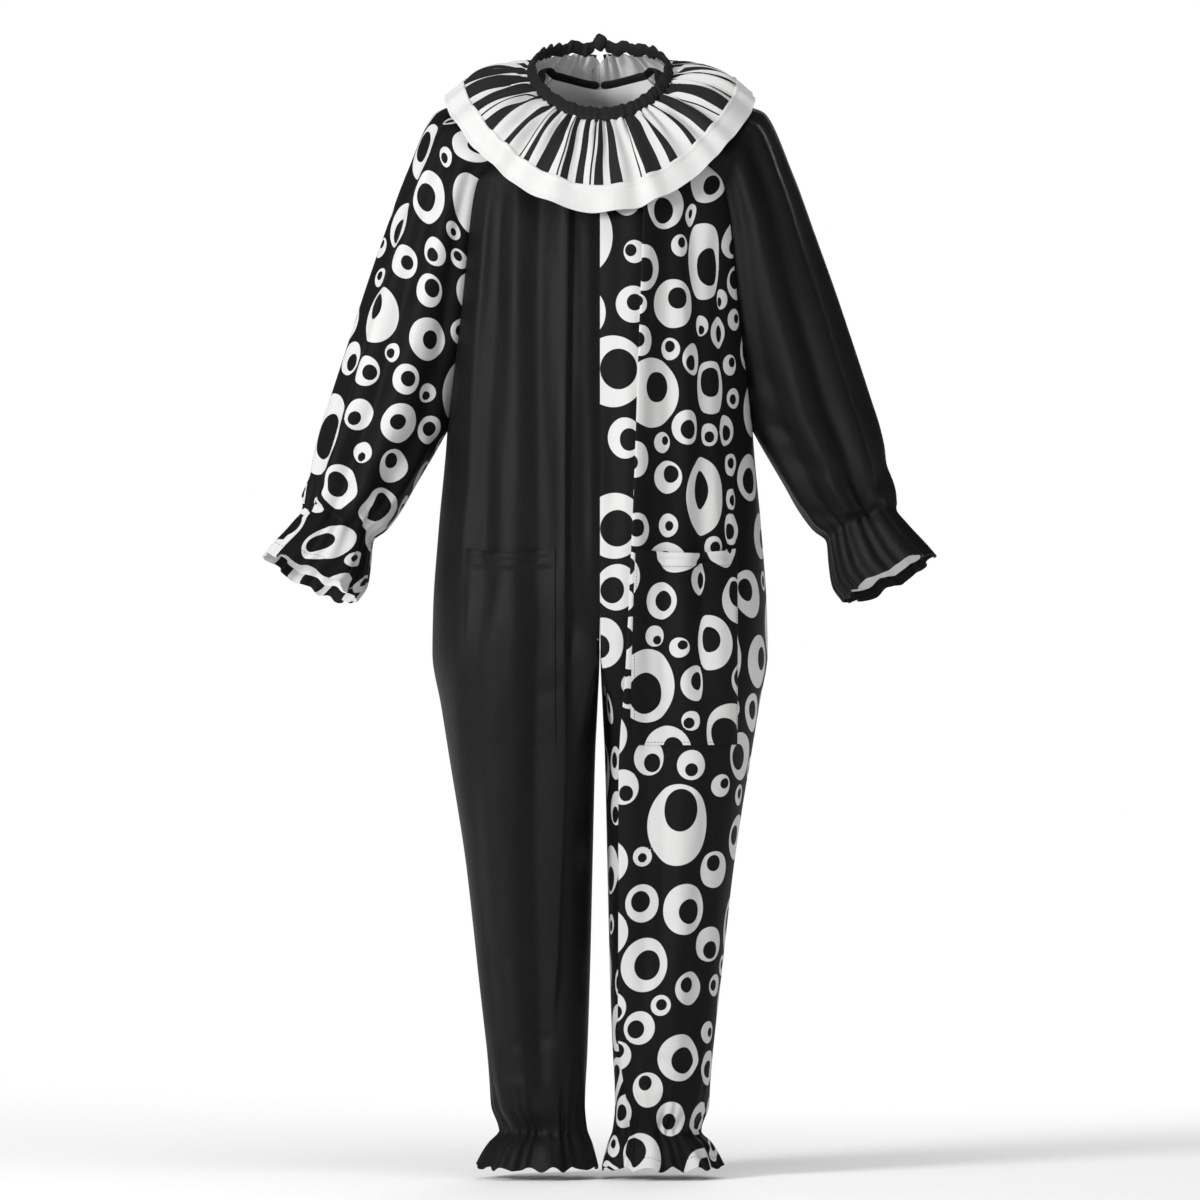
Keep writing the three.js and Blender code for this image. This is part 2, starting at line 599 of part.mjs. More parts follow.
// The jumpsuit's neck band continues the cloth upwards from its top edge, all round but for the slit at
// the back.
function neckBandGrid(panels) {
  const edge = [];
  const take = (name, reversed) => {
    const { grid } = panels.find((p) => p.name === name);
    const points = grid[0].map((at, c) => ({ at, up: at.clone().sub(grid[1][c]).normalize() }));
    if (reversed) points.reverse();
    edge.push(...(edge.length ? points.slice(1) : points));
  };
  take("back_right", true);
  take("sleeve_right", true);
  take("front_right", false);
  take("front_left", true);
  take("sleeve_left", false);
  take("back_left", false);
  const smoothUp = edge.map((_, i) => {
    const near = edge.slice(Math.max(0, i - 2), i + 3);
    return near.reduce((sum, e) => sum.add(e.up), new THREE.Vector3()).normalize();
  });
  const raised = (height) => edge.map(({ at }, i) => at.clone().addScaledVector(smoothUp[i], height));
  return [NECK_BAND_HEIGHT, SEAM_GAP].map(raised);
}

// A short free end of the tie, lying on the back of the ruff.
function tieEndGrid(side) {
  const grid = [];
  for (let r = 0; r <= TIE_END.steps; r++) {
    const share = lerp(TIE_END.from, TIE_END.to, r / TIE_END.steps);
    const row = [];
    for (const across of [-0.5, 0, 0.5]) {
      const ring = lerp(RUFF.neck.half_width, RUFF.edge.half_width, share);
      const angle = Math.PI - (TIE_END.width * (0.75 + across)) / ring - TIE_END.spread * share;
      const base = ringPoint(RUFF.neck, side * angle).lerp(ringPoint(RUFF.edge, side * angle), share);
      const off = ruffBulge(angle) * Math.sin(Math.PI * share) + TIE_END.stand_off;
      row.push(base.addScaledVector(ruffNormal(side * angle), off));
    }
    grid.push(row);
  }
  return grid;
}

function knotMesh(material) {
  const { width, depth, height, bevel } = KNOT;
  const half = width / 2 - bevel;
  const outline = new THREE.Shape();
  outline.moveTo(-half, -height / 2 + bevel);
  outline.lineTo(half, -height / 2 + bevel);
  outline.lineTo(half, height / 4);
  outline.lineTo(half / 4, height / 2 + bevel);
  outline.lineTo(-half, height / 4);
  outline.closePath();
  const geometry = new THREE.ExtrudeGeometry(outline, {
    depth: depth - 2 * bevel,
    bevelThickness: bevel,
    bevelSize: bevel,
    bevelSegments: 2,
  });
  geometry.translate(0, 0, bevel - depth / 2);
  const mesh = new THREE.Mesh(geometry, material);
  mesh.name = "tie_knot";
  mesh.rotation.x = Math.PI / 2;
  mesh.position.set(0, RUFF.top.back + 1, RUFF.top.back_z - 2);
  return mesh;
}

// ---- materials ----
const cloth = (color, roughness) => new THREE.MeshStandardMaterial({ color, roughness, metalness: 0 });
const blackCloth = cloth(0x1c1d1d, 0.85);
const printedCloth = cloth(0x6a6c6c, 0.85);
const stripedCloth = cloth(0x8c8e8e, 0.85);
const whiteCloth = cloth(0xe6e8e6, 0.8);
const blackTape = cloth(0x161616, 0.9);

// ---- the costume ----
const away = (x, y, z) => () => new THREE.Vector3(x, y, z);
const jumpsuit = [
  panel("front_right", panelGrid(RIGHT, -1, FRONT_COLUMNS), away(0, -1, 0)),
  panel("front_left", panelGrid(LEFT, -1, FRONT_COLUMNS), away(0, -1, 0)),
  panel("back_right", panelGrid(RIGHT, 1, BACK_COLUMNS), away(0, 1, 0)),
  panel("back_left", panelGrid(LEFT, 1, BACK_COLUMNS), away(0, 1, 0)),
  panel("sleeve_right", sleeveGrid(RIGHT), away(-1, 0, 0)),
  panel("sleeve_left", sleeveGrid(LEFT), away(1, 0, 0)),
];
mitreSeams(jumpsuit);
const neckBand = panel("neck_band", neckBandGrid(jumpsuit), away(0, -1, 0), BINDING_WALL);
const pockets = [
  panel("pocket_right", pocketGrid(jumpsuit[0], RIGHT), away(0, -1, 0)),
  panel("pocket_left", pocketGrid(jumpsuit[1], LEFT), away(0, -1, 0)),
];
const { border_from: border } = RUFF;
const ruff = [
  panel("ruff", ruffGrid([0, border / 3, (2 * border) / 3, border]), away(0, -1, 1)),
  panel("ruff_border", ruffGrid([border, 1]), away(0, -1, 1)),
  panel("ruff_binding", ruffBindingGrid(), away(0, -1, 1), BINDING_WALL),
];
mitreSeams(ruff);
const tieEnds = [
  panel("tie_end_right", tieEndGrid(RIGHT), away(0, 1, 1)),
  panel("tie_end_left", tieEndGrid(LEFT), away(0, 1, 1)),
];

const materials = {
  front_right: blackCloth,
  front_left: printedCloth,
  back_right: blackCloth,
  back_left: printedCloth,
  sleeve_right: printedCloth,
  sleeve_left: blackCloth,
  pocket_right: blackCloth,
  pocket_left: printedCloth,
  neck_band: blackTape,
  ruff: stripedCloth,
  ruff_border: whiteCloth,
  ruff_binding: blackTape,
  tie_end_right: blackTape,
  tie_end_left: blackTape,
};
const costume = new THREE.Group();
// Each front and back is one piece of cloth from neck to hem. It is built as three solids, one above the other,
// so that each is simple enough to stay open inside.
const lengthsOf = (p) => {
  const rowAt = (z) => p.grid.findIndex((row) => Math.abs(row[0].z - z) < 0.01);
  const cuts = [CROTCH_Z, ANKLE_ELASTIC_Z].map(rowAt);
  const ends = [0, ...cuts, p.grid.length - 1];
  return ["", "_leg", "_frill"].map((word, n) => ({
    ...p,
    name: p.name + word,
    cloth: p.name,
    grid: p.grid.slice(ends[n], ends[n + 1] + 1),
    normals: p.normals.slice(ends[n], ends[n + 1] + 1),
  }));
};
const frontsAndBacks = jumpsuit.slice(0, 4).flatMap(lengthsOf);
const sheets = [...frontsAndBacks, ...jumpsuit.slice(4), neckBand, ...pockets, ...ruff, ...tieEnds];
sheets.forEach((p) => costume.add(wallMesh(p, materials[p.cloth ?? p.name])));
costume.add(knotMesh(blackTape));

export default costume;
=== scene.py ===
"""A clown costume, filled out as worn: a jumpsuit in black and printed knit, and a striped ruff tied behind.

Sizes are in millimetres and become metres where a mesh is made. The front faces -Y, and +X is the wearer's
left.
"""

import math

import bpy
import numpy as np
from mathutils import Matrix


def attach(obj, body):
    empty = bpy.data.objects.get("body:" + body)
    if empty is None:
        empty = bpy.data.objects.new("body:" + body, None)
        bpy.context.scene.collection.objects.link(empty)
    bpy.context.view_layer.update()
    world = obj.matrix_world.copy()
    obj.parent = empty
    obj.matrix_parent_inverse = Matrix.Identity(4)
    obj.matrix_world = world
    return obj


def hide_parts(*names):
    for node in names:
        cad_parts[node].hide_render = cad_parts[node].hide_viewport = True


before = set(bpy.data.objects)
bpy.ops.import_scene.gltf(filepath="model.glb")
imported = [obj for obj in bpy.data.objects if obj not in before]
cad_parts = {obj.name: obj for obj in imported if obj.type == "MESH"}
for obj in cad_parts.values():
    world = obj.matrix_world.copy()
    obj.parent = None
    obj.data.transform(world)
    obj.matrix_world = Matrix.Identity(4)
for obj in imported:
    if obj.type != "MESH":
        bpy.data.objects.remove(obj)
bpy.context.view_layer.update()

MM = 0.001
RIGHT, LEFT = -1, 1
FRONT, BACK = -1, 1

# ---- camera: level, far off, and square to the front ----
CAMERA_AWAY = 12.0
VIEW_WIDTH = 1.524  # of the plane through the wearer's sides
VIEW_CENTRE_Z = -0.678
SENSOR = 36.0

camera = bpy.data.objects.new("camera", bpy.data.cameras.new("camera"))
camera.data.sensor_width = SENSOR
camera.data.lens = SENSOR * CAMERA_AWAY / VIEW_WIDTH
camera.location = (0, -CAMERA_AWAY, VIEW_CENTRE_Z)
camera.rotation_euler = (math.pi / 2, 0, 0)
bpy.context.scene.collection.objects.link(camera)
bpy.context.scene.camera = camera


# ---- tables and curves ----
def table(columns, *rows):
    """Rows of numbers as one array for each named column."""
    return dict(zip(columns.split(), np.array(rows, float).T))


def rows_of(columns):
    """The rows of a table again, as dicts."""
    return [dict(zip(columns, row)) for row in zip(*columns.values())]


def curve(x, y, at):
    """A cubic through the points (x, y): the slope at each is the harmonic mean of its neighbours."""
    order = np.argsort(x)
    x, y = np.asarray(x, float)[order], np.asarray(y, float)[order]
    step = np.diff(y) / np.diff(x)
    same = step[:-1] * step[1:] > 0
    total = np.where(same, step[:-1] + step[1:], 1)
    slope = np.concatenate([step[:1], np.where(same, 2 * step[:-1] * step[1:] / total, 0), step[-1:]])
    at = np.clip(at, x[0], x[-1])
    i = np.clip(np.searchsorted(x, at) - 1, 0, len(x) - 2)
    span = x[i + 1] - x[i]
    t = (at - x[i]) / span
    return (
        (2 * t**3 - 3 * t**2 + 1) * y[i]
        + (t**3 - 2 * t**2 + t) * slope[i] * span
        + (3 * t**2 - 2 * t**3) * y[i + 1]
        + (t**3 - t**2) * slope[i + 1] * span
    )


def rise(x, low, high):
    """0 below low, 1 above high, and a smooth step between them."""
    t = np.clip((x - low) / (high - low), 0, 1)
    return t * t * (3 - 2 * t)


def mix(a, b, share):
    return a + (b - a) * share


def power(v, p):
    """v to the power p with its sign kept."""
    return np.sign(v) * np.abs(v) ** p


def unit(v):
    return v / np.maximum(np.linalg.norm(v, axis=-1, keepdims=True), 1e-9)


def uneven(t, seed, waves, spread=0.35):
    """A wave with that many crests in one turn of t, whose crests are unevenly spaced and unevenly high."""
    r = np.random.default_rng(seed)
    phase, low = r.uniform(0, 2 * math.pi, 4), np.array([0.21, 0.34, 0.13, 0.27]) * waves
    drift = sum(np.sin(np.round(k) * t + p) for k, p in zip(low, phase)) * spread
    height = 0.75 + 0.25 * np.sin(np.round(low[1] + 1) * t + phase[2])
    return np.sin(waves * t + drift * 2.2 + phase[0]) * height


# ---- the jumpsuit's sizes ----
UNDERARM_Z, SEAT_SEAM_TOP_Z, CROTCH_Z = -462, -690, -745
ANKLE_ELASTIC_Z, HEM_Z = -1351, -1400
NECK_DROP = {FRONT: 22, BACK: 12}
BACK_SLIT_HALF_GAP, BACK_SLIT_BOTTOM_Z = 0.15, -150
BODY_ROUNDNESS, LEG_ROUNDNESS = 2.2, 2.3
CLOTH = 0.9  # thickness
HEM = 13  # depth of the turned hem inside each frill

SECTIONS = table(
    "z outer inner front back mid round",
    (-14, 92, 0, 48, 58, 0, 0),
    (-30, 104, 0, 51, 66, 0, 0),
    (-66, 140, 0, 58, 90, 0, 0),
    (-105, 172, 0, 84, 108, 0, 0),
    (-145, 188, 0, 117, 121, 0, 0),
    (-208, 187, 0, 139, 128, 0, 0),
    (-335, 189, 0, 148, 128, 0, 0),
    (-462, 194, 0, 150, 124, 0, 0),
    (-589, 205, 0, 150, 130, 0, 0),
    (-690, 212, 0, 146, 136, 70, 0),
    (-745, 213, 0.3, 138, 130, 98, 0),
    (-812, 202, 3, 126, 116, 102, 0.45),
    (-875, 192, 6, 114, 105, 99, 0.8),
    (-1000, 172, 9, 97, 92, 90, 1),
    (-1130, 157, 12, 82, 80, 84, 1),
    (-1255, 143, 16, 70, 68, 79, 1),
    (-1320, 136, 19, 61, 59, 77, 1),
    (-1351, 125, 16, 47, 46, 71, 1),
    (-1368, 138, 10, 58, 56, 74, 1),
    (-1400, 153, 2, 72, 68, 77, 1),
)
RAGLAN = table(
    "out front back",
    (62, -66, -14),
    (98, -98, -50),
    (130, -124, -92),
    (156, -150, -140),
    (166, -208, -208),
    (172, -272, -272),
    (179, -335, -335),
    (187, -399, -399),
    (194, -462, -462),
)

# Folds down the cloth, by their x at four heights. A fold is a trough, or a ridge if its depth is positive,
# with its own width on either side, and tuck is the width of cloth that it hides.
FOLD_COLUMNS = "chest waist thigh ankle depth left right top bottom tuck"
LEVELS = np.array([-180, -480, -850, -1300])
FRONT_FOLDS = table(
    FOLD_COLUMNS,
    (-128, -143, -156, -116, -8, 9, 14, -110, -900, 4),
    (-79, -79, -80, -74, -15, 16, 21, -110, -1330, 8),
    (-107, -107, -110, -96, 1, 17, 15, -110, -1250, 0),
    (-43, -44, -46, -58, 2, 22, 27, -120, -1300, 0),
    (0, 0, 0, 0, -10, 27, 24, -110, -800, 0),
    (51, 44, 36, 34, 11, 15, 15, -120, -1330, 0),
    (84, 84, 80, 70, -8, 16, 16, -130, -1200, 3),
    (118, 128, 130, 105, -9, 14, 14, -150, -900, 18),
    (-150, -166, -180, -132, 2, 9, 12, -150, -900, 0),
    (-13, -11, -9, -8, 3, 7, 5, -170, -700, 0),
    (145, 158, 168, 130, -6, 9, 9, -190, -720, 14),
    (101, 108, 110, 92, 3.5, 10, 9, -170, -820, 0),
    (-160, -170, -165, -125, -3, 9, 10, -620, -1300, 0),
    (68, 62, 57, 54, -3, 7, 9, -260, -1280, 0),
    (150, 160, 140, 112, -5, 10, 12, -860, -1330, 3),
    (112, 112, 105, 88, 4, 12, 12, -880, -1320, 0),
    (-140, -146, -138, -104, 4, 14, 12, -880, -1310, 0),
)
BACK_FOLDS = table(
    FOLD_COLUMNS,
    (-128, -150, -160, -110, -9, 17, 17, -110, -800, 6),
    (-70, -84, -96, -80, -11, 19, 19, -110, -1320, 8),
    (0, 0, 0, 0, -10, 26, 26, -160, -790, 0),
    (62, 74, 88, 74, -12, 18, 18, -110, -1320, 8),
    (124, 146, 158, 112, -8, 16, 16, -110, -860, 6),
    (-98, -116, -130, -98, 5, 14, 12, -140, -700, 0),
    (-38, -44, -50, -56, 5, 13, 16, -150, -1290, 0),
    (34, 40, 46, 52, 4, 14, 12, -150, -1280, 0),
    (96, 112, 126, 96, 6, 12, 15, -130, -1290, 0),
    (16, 18, 20, 26, -3, 6, 7, -220, -700, 3),
    (-20, -21, -22, -28, -3, 6, 8, -240, -720, 3),
)
# Laps, where the cloth steps from one height to another at a line.
LAP_COLUMNS = "chest waist thigh ankle before after left right top bottom tuck over"
LAP_REACH = 4.6
LAP_BAND = 7  # on either side of a lap, where columns lie close together
LAP_SHARES = (0.6, 0.72)  # of a panel's columns, where those of its lap start and end
FRONT_LAPS = table(
    LAP_COLUMNS,
    (54, 44, 33, 32, -9, 7, 16, 26, -90, -1345, 24, 4.6),
    (-38, -42, -44, -58, 4, -7, 20, 26, -100, -1240, 12, 3.0),
    (-139, -160, -178, -132, 2.5, -3, 10, 12, -150, -700, 0, 0),
    (166, 172, 173, 140, 2, -4, 12, 8, -480, -900, 4, 0),
)
BACK_LAPS = table(
    LAP_COLUMNS,
    (-52, -60, -70, -66, 5, -4, 20, 18, -150, -1100, 12, 3.4),
    (48, 56, 68, 64, -4, 5, 18, 20, -160, -1180, 16, 3.4),
)
# Soft dents where the cloth is slack: their middle, half sizes across and down, depth and lean.
FRONT_DENTS = table(
    "x z across down depth lean",
    (-20, -700, 34, 26, -5, 0.5),
    (22, -716, 30, 22, -5, -0.5),
    (-60, -790, 40, 14, -3, 0.35),
    (66, -806, 38, 13, -3, -0.3),
    (-176, -520, 16, 60, -4, 0.1),
    (178, -530, 15, 70, -4, -0.1),
    (-84, -1235, 42, 9, -2.5, 0.15),
    (88, -1262, 40, 8, -2.5, -0.2),
    (-96, -1292, 40, 8, 2, -0.12),
    (80, -1300, 40, 8, 2, 0.1),
    (-110, -1130, 36, 16, -2, -0.3),
    (108, -1080, 34, 16, -2, 0.3),
)
BACK_DENTS = table(
    "x z across down depth lean",
    (-60, -660, 60, 20, -4, 0.35),
    (64, -672, 60, 20, -4, -0.35),
    (-70, -800, 50, 14, -4, -0.3),
    (72, -812, 50, 14, -4, 0.3),
    (-88, -1080, 40, 14, -3, 0.2),
    (92, -1110, 40, 14, -3, -0.2),
    (-84, -1240, 42, 9, -2.5, 0.1),
    (86, -1252, 42, 9, -2.5, -0.1),
    (0, -330, 60, 16, -3, 0),
)


# ---- the jumpsuit's form ----
def section(z):
    """The body's horizontal section at each z: every column of the table, with z itself."""
    found = {name: curve(SECTIONS["z"], column, z) for name, column in SECTIONS.items() if name != "z"}
    return found | {"z": z}


def super_radius(angle, across, deep, power):
    """Distance from a superellipse's centre: (|cos / across|^power + |sin / deep|^power)^(-1 / power)."""
    return (np.abs(np.cos(angle) / across) ** power + np.abs(np.sin(angle) / deep) ** power) ** (-1 / power)


def body_radius(s, deep, angle):
    """Distance from the section's centre to the cloth: a superellipse outside, a rounded box inside."""
    outside = super_radius(angle, s["outer"] - s["mid"], deep, mix(BODY_ROUNDNESS, LEG_ROUNDNESS, s["round"]))
    across = np.maximum(s["mid"] - s["inner"], 0.001)
    box = np.minimum(across / np.maximum(np.abs(np.cos(angle)), 1e-9), deep / np.maximum(np.sin(angle), 1e-9))
    inside = mix(box, super_radius(angle, across, deep, LEG_ROUNDNESS), s["round"])
    return np.where(angle <= math.pi / 2, outside, inside)


def depth_of(s, face):
    return s["front"] if face == FRONT else s["back"]


def angle_at_x(s, face, x, last):
    """The angle, up to a last one, at which the cloth lies at this distance from the middle, by halving."""
    low = np.zeros(np.broadcast(s["z"], x, last).shape)
    high = last + low
    for _ in range(30):
        middle = (low + high) / 2
        further = s["mid"] + np.cos(middle) * body_radius(s, depth_of(s, face), middle) > x
        low, high = np.where(further, middle, low), np.where(further, high, middle)
    return (low + high) / 2


def inner_angle(s, face):
    """Where a panel stops: the middle above the seat seam, the inside leg below, an arc between."""
    under = np.clip((SEAT_SEAM_TOP_Z - s["z"]) / (SEAT_SEAM_TOP_Z - CROTCH_Z), 0, 1)
    return math.pi - np.arctan2(depth_of(s, face) * np.sqrt(1 - under**2), s["mid"] - s["inner"])


def seam_angle(s, face):
    """Where a panel starts: at the side seam, and on the raglan seam above the underarm."""
    out = curve(RAGLAN["front" if face == FRONT else "back"], RAGLAN["out"], s["z"])
    return np.where(s["z"] <= UNDERARM_Z, 0, angle_at_x(s, face, out, math.pi / 2))


def down_fade(z, top, bottom):
    return rise(-z, -top, 60 - top) * (1 - rise(-z, -bottom - 120, -bottom))


def line_at(row, z):
    return curve(LEVELS, np.array([row[level] for level in ("chest", "waist", "thigh", "ankle")]), z)


def folds_at(folds, laps, dents, x, z):
    """How far the cloth stands out at (x, z), the width tucked away on its -X side, and its shift sideways.

    A fold is depth times a tent, a lap a step between two decaying slopes whose sides are drawn over each
    other, and a dent a slanted bell.
    """
    moved, hidden, over = (np.zeros(np.broadcast(x, z).shape) for _ in range(3))
    for row in rows_of(folds):
        away = x - line_at(row, z)
        fade = down_fade(z, row["top"], row["bottom"])
        t = np.abs(away) / np.where(away < 0, row["left"], row["right"]) / 1.6
        moved += row["depth"] * fade * tent(t)
        hidden += row["tuck"] * fade * rise(away, -row["left"] / 2, row["right"] / 2)
    for row in rows_of(laps):
        away = x - line_at(row, z)
        fade = down_fade(z, row["top"], row["bottom"])
        before = row["before"] * np.exp(np.minimum(away, 0) / row["left"])
        after = row["after"] * np.exp(-np.maximum(away, 0) / row["right"])
        moved += fade * mix(before, after, rise(away, -LAP_REACH, LAP_REACH))
        hidden += row["tuck"] * fade * rise(away, -2, 2)
        t = away / LAP_REACH
        over -= 2.33 * row["over"] * fade * t * np.exp(-t * t)
    for row in rows_of(dents):
        across, down = x - row["x"], z - row["z"]
        down = down - row["lean"] * across
        moved += row["depth"] * np.exp(-((across / row["across"]) ** 2) - (down / row["down"]) ** 2)
    return moved, hidden, over


def tent(t, round_off=0.2):
    """About 1 at t = 0 and 0 beyond 1, with straight sides: three |t + k| added, each |t + k| a hyperbola."""
    near, ridge, far = (np.sqrt((t + k) ** 2 + round_off**2) for k in (-1, 0, 1))
    return (near + far) / 2 - ridge


def slack(x, z, seed):
    """The small unevenness of hanging cloth: a few long waves that lean slightly, up to about 1 mm."""
    r = np.random.default_rng(seed)
    total = 0
    for _ in range(9):
        across, down, phase = r.uniform(35, 120), r.uniform(250, 700), r.uniform(0, 2 * math.pi)
        total = total + np.sin(x / across * 2 * math.pi + z / down * 2 * math.pi * r.choice([-1, 1]) + phase)
    return 0.28 * total


def ankle_gather(angle, z, face, side):
    """Pleats that the elastic leaves: deepest at it, dying out up the leg, and opening out in the frill."""
    turn = angle * face + (math.pi if side == LEFT else 0)
    above = 1 - rise(z - ANKLE_ELASTIC_Z, 0, 80)
    long = 1 - rise(z - ANKLE_ELASTIC_Z, 0, 150)
    frill = rise(ANKLE_ELASTIC_Z - z, 0, ANKLE_ELASTIC_Z - HEM_Z)
    up = z > ANKLE_ELASTIC_Z
    wide = np.where(up, 2.2 * above, mix(2.2, 4.5, frill)) * np.cos(7 * angle)
    fine = np.where(up, 2.3 * above, mix(2.3, 1.6, frill)) * uneven(turn, 11 + side, 22)
    return wide + fine + np.where(up, 1.6 * long, 0) * uneven(turn, 5 + side, 13)


def body_point(side, face, angle, z):
    """One quarter of the jumpsuit's cloth at each (angle, z), and the cloth its folds hide up to there."""
    s = section(z)
    deep = depth_of(s, face)
    radius = body_radius(s, deep, angle)
    x, y = s["mid"] + radius * np.cos(angle), radius * np.sin(angle)
    legs = rise(-z, -SEAT_SEAM_TOP_Z, 900)
    torso_way = unit(np.stack([x / s["outer"] ** 2, y / deep**2], -1))
    way = unit(mix(torso_way, np.stack([np.cos(angle), np.sin(angle)], -1), legs[..., None]))
    clear = rise(angle - seam_angle(s, face), 0, 0.3)
    outside = np.where(angle > math.pi / 2, rise(y / deep, 0.1, 0.8), 1)
    tables = (FRONT_FOLDS, FRONT_LAPS, FRONT_DENTS) if face == FRONT else (BACK_FOLDS, BACK_LAPS, BACK_DENTS)
    moved, hidden, over = folds_at(*tables, side * x, z)
    moved = (moved + slack(side * x, z, 3 if face == FRONT else 8)) * clear * outside
    moved = moved + ankle_gather(angle, z, face, side)
    x = np.maximum(x + way[..., 0] * moved + side * over * clear * outside, s["inner"])
    return np.stack([side * x, face * (y + way[..., 1] * moved), z], -1), hidden


def column_angle(s, face, first, share, lap):
    """Columns run down the panel, close together at its lap, and turn in to the middle or the inside leg."""
    last = inner_angle(s, face)
    outer, inner = (angle_at_x(s, face, lap + away, last) for away in (LAP_BAND, -LAP_BAND))
    start, end = LAP_SHARES
    angle = mix(first, outer, np.minimum(share / start, 1))
    angle = np.where(share > start, mix(outer, inner, (share - start) / (end - start)), angle)
    return np.where(share > end, mix(inner, last, (share - end) / (1 - end)), angle)


def arc_lengths(points):
    """The length along each row of a grid, from its first column."""
    steps = np.linalg.norm(np.diff(points, axis=1), axis=-1)
    return np.concatenate([np.zeros((len(points), 1)), np.cumsum(steps, axis=1)], axis=1)


def groove(points, first, last, depth=1.2, width=3.5):
    """Draws the cloth in along its side seams, by depth times a bell curve of the distance from the edge.

    first and last are the ways that each edge goes, the same for the piece on the seam's other side.
    """
    length = arc_lengths(points)
    near_first = np.exp(-((length / width) ** 2))[..., None]
    near_last = np.exp(-(((length[:, -1:] - length) / width) ** 2))[..., None]
    return points + depth * (first * near_first + last * near_last)


def grid_normals(points, outward):
    """Unit normals of a grid by central differences, all turned to the side on which outward lies."""
    across, down = np.gradient(points, axis=1), np.gradient(points, axis=0)
    normals = unit(np.cross(across, down))
    middle = normals[len(normals) // 2, normals.shape[1] // 2]
    return normals if np.dot(middle, outward) > 0 else -normals


def column_where(x, limit):
    """The column, with its fraction, at which each row of a grid comes as near to the middle as its limit."""
    limit = np.asarray(limit).reshape(-1, 1)
    c = np.clip((x > limit).sum(axis=1), 1, x.shape[1] - 1)[:, None]
    before, after = np.take_along_axis(x, c - 1, 1), np.take_along_axis(x, c, 1)
    return c - 1 + np.clip((before - limit) / (before - after), 0, 1)


def between_columns(grid, places):
    """The values of a grid at places that are column numbers with fractions."""
    whole = np.clip(np.floor(places).astype(int), 0, grid.shape[1] - 2)
    part = places - whole
    if grid.ndim == 3:
        whole, part = whole[..., None], part[..., None]
    return mix(np.take_along_axis(grid, whole, 1), np.take_along_axis(grid, whole + 1, 1), part)


def seat_rows(level):
    """Moves the levels between the seat seam's top and the crotch, so that they lie evenly round its arc."""
    under = (SEAT_SEAM_TOP_Z - level) / (SEAT_SEAM_TOP_Z - CROTCH_Z)
    arc = SEAT_SEAM_TOP_Z - (SEAT_SEAM_TOP_Z - CROTCH_Z) * np.sin(under * math.pi / 2)
    return np.where((under > 0) & (under < 1), mix(level, arc, 0.85), level)


def panel_surface(side, face, rows, columns):
    """One quarter of the jumpsuit as a grid of points with its flat cloth coordinates, in millimetres."""
    top = RAGLAN["front" if face == FRONT else "back"][0]
    level = seat_rows(np.linspace(top, HEM_Z, rows + 1))[:, None]
    share = np.linspace(0, 1, columns + 1)[None, :]
    first = seam_angle(section(level), face)
    lap = rows_of(FRONT_LAPS if face == FRONT else BACK_LAPS)[(side == LEFT) == (face == BACK)]
    angle = column_angle(section(level), face, first, share, line_at(lap, level) * side)
    out = np.cos(angle) / np.cos(first)
    z = level - NECK_DROP[face] * rise(level, -300, top) * np.sin(np.clip(1 - out, 0, 1) * math.pi / 2)
    angle = column_angle(section(z), face, first, share, line_at(lap, z) * side)
    points, hidden = body_point(side, face, angle, z)
    frill = rise(ANKLE_ELASTIC_Z - level, 0, ANKLE_ELASTIC_Z - HEM_Z)
    points[..., 2] += frill * (3 + 3 * np.cos(14 * angle) + 1.5 * uneven(angle * face, 4 + side, 17))
    if face == BACK:
        slit = BACK_SLIT_HALF_GAP * np.maximum(1 - z[:, -1] / BACK_SLIT_BOTTOM_Z, 0)
        points[:, -1, 0] = np.where(slit > 0, side * slit, points[:, -1, 0])
    along = arc_lengths(points)
    grain = column_where(points[..., 0] * side, curve(LEVELS, np.array([98, 98, 96, 78]), level[:, 0]))
    flat_x = side * (between_columns(along, grain) - along) + (hidden - between_columns(hidden, grain))
    return points, np.stack([flat_x, -z + 0 * share], -1)


# ---- the sleeves ----
SLEEVE_OUTER = table(
    "x y z depth",
    (80, 10, -17, 50),
    (123, 16, -34, 74),
    (165, 20, -45, 82),
    (206, 22, -57, 86),
    (243, 18, -136, 88),
    (271, 14, -213, 86),
    (295, 10, -281, 84),
    (318, 5, -351, 82),
    (340, 0, -418, 80),
    (353, -4, -458, 78),
    (362, -9, -495, 74),
    (369, -14, -527, 66),
    (373, -19, -549, 54),
    (374, -23, -563, 38),
    (389, -26, -584, 46),
    (408, -29, -606, 54),
    (422, -32, -623, 58),
)
UNDERARM = 8  # the row of that table at which the two ends of the sleeve meet
ELASTIC = 13
SLEEVE_INNER = table(
    "x y z lift",
    (194, 0, -462, 0),
    (213, -4, -497, 2),
    (232, -9, -530, 4),
    (252, -14, -563, 6),
    (273, -19, -589, 8),
    (289, -23, -602, 9),
    (292, -26, -629, 11),
    (297, -29, -657, 13),
    (311, -32, -678, 15),
)
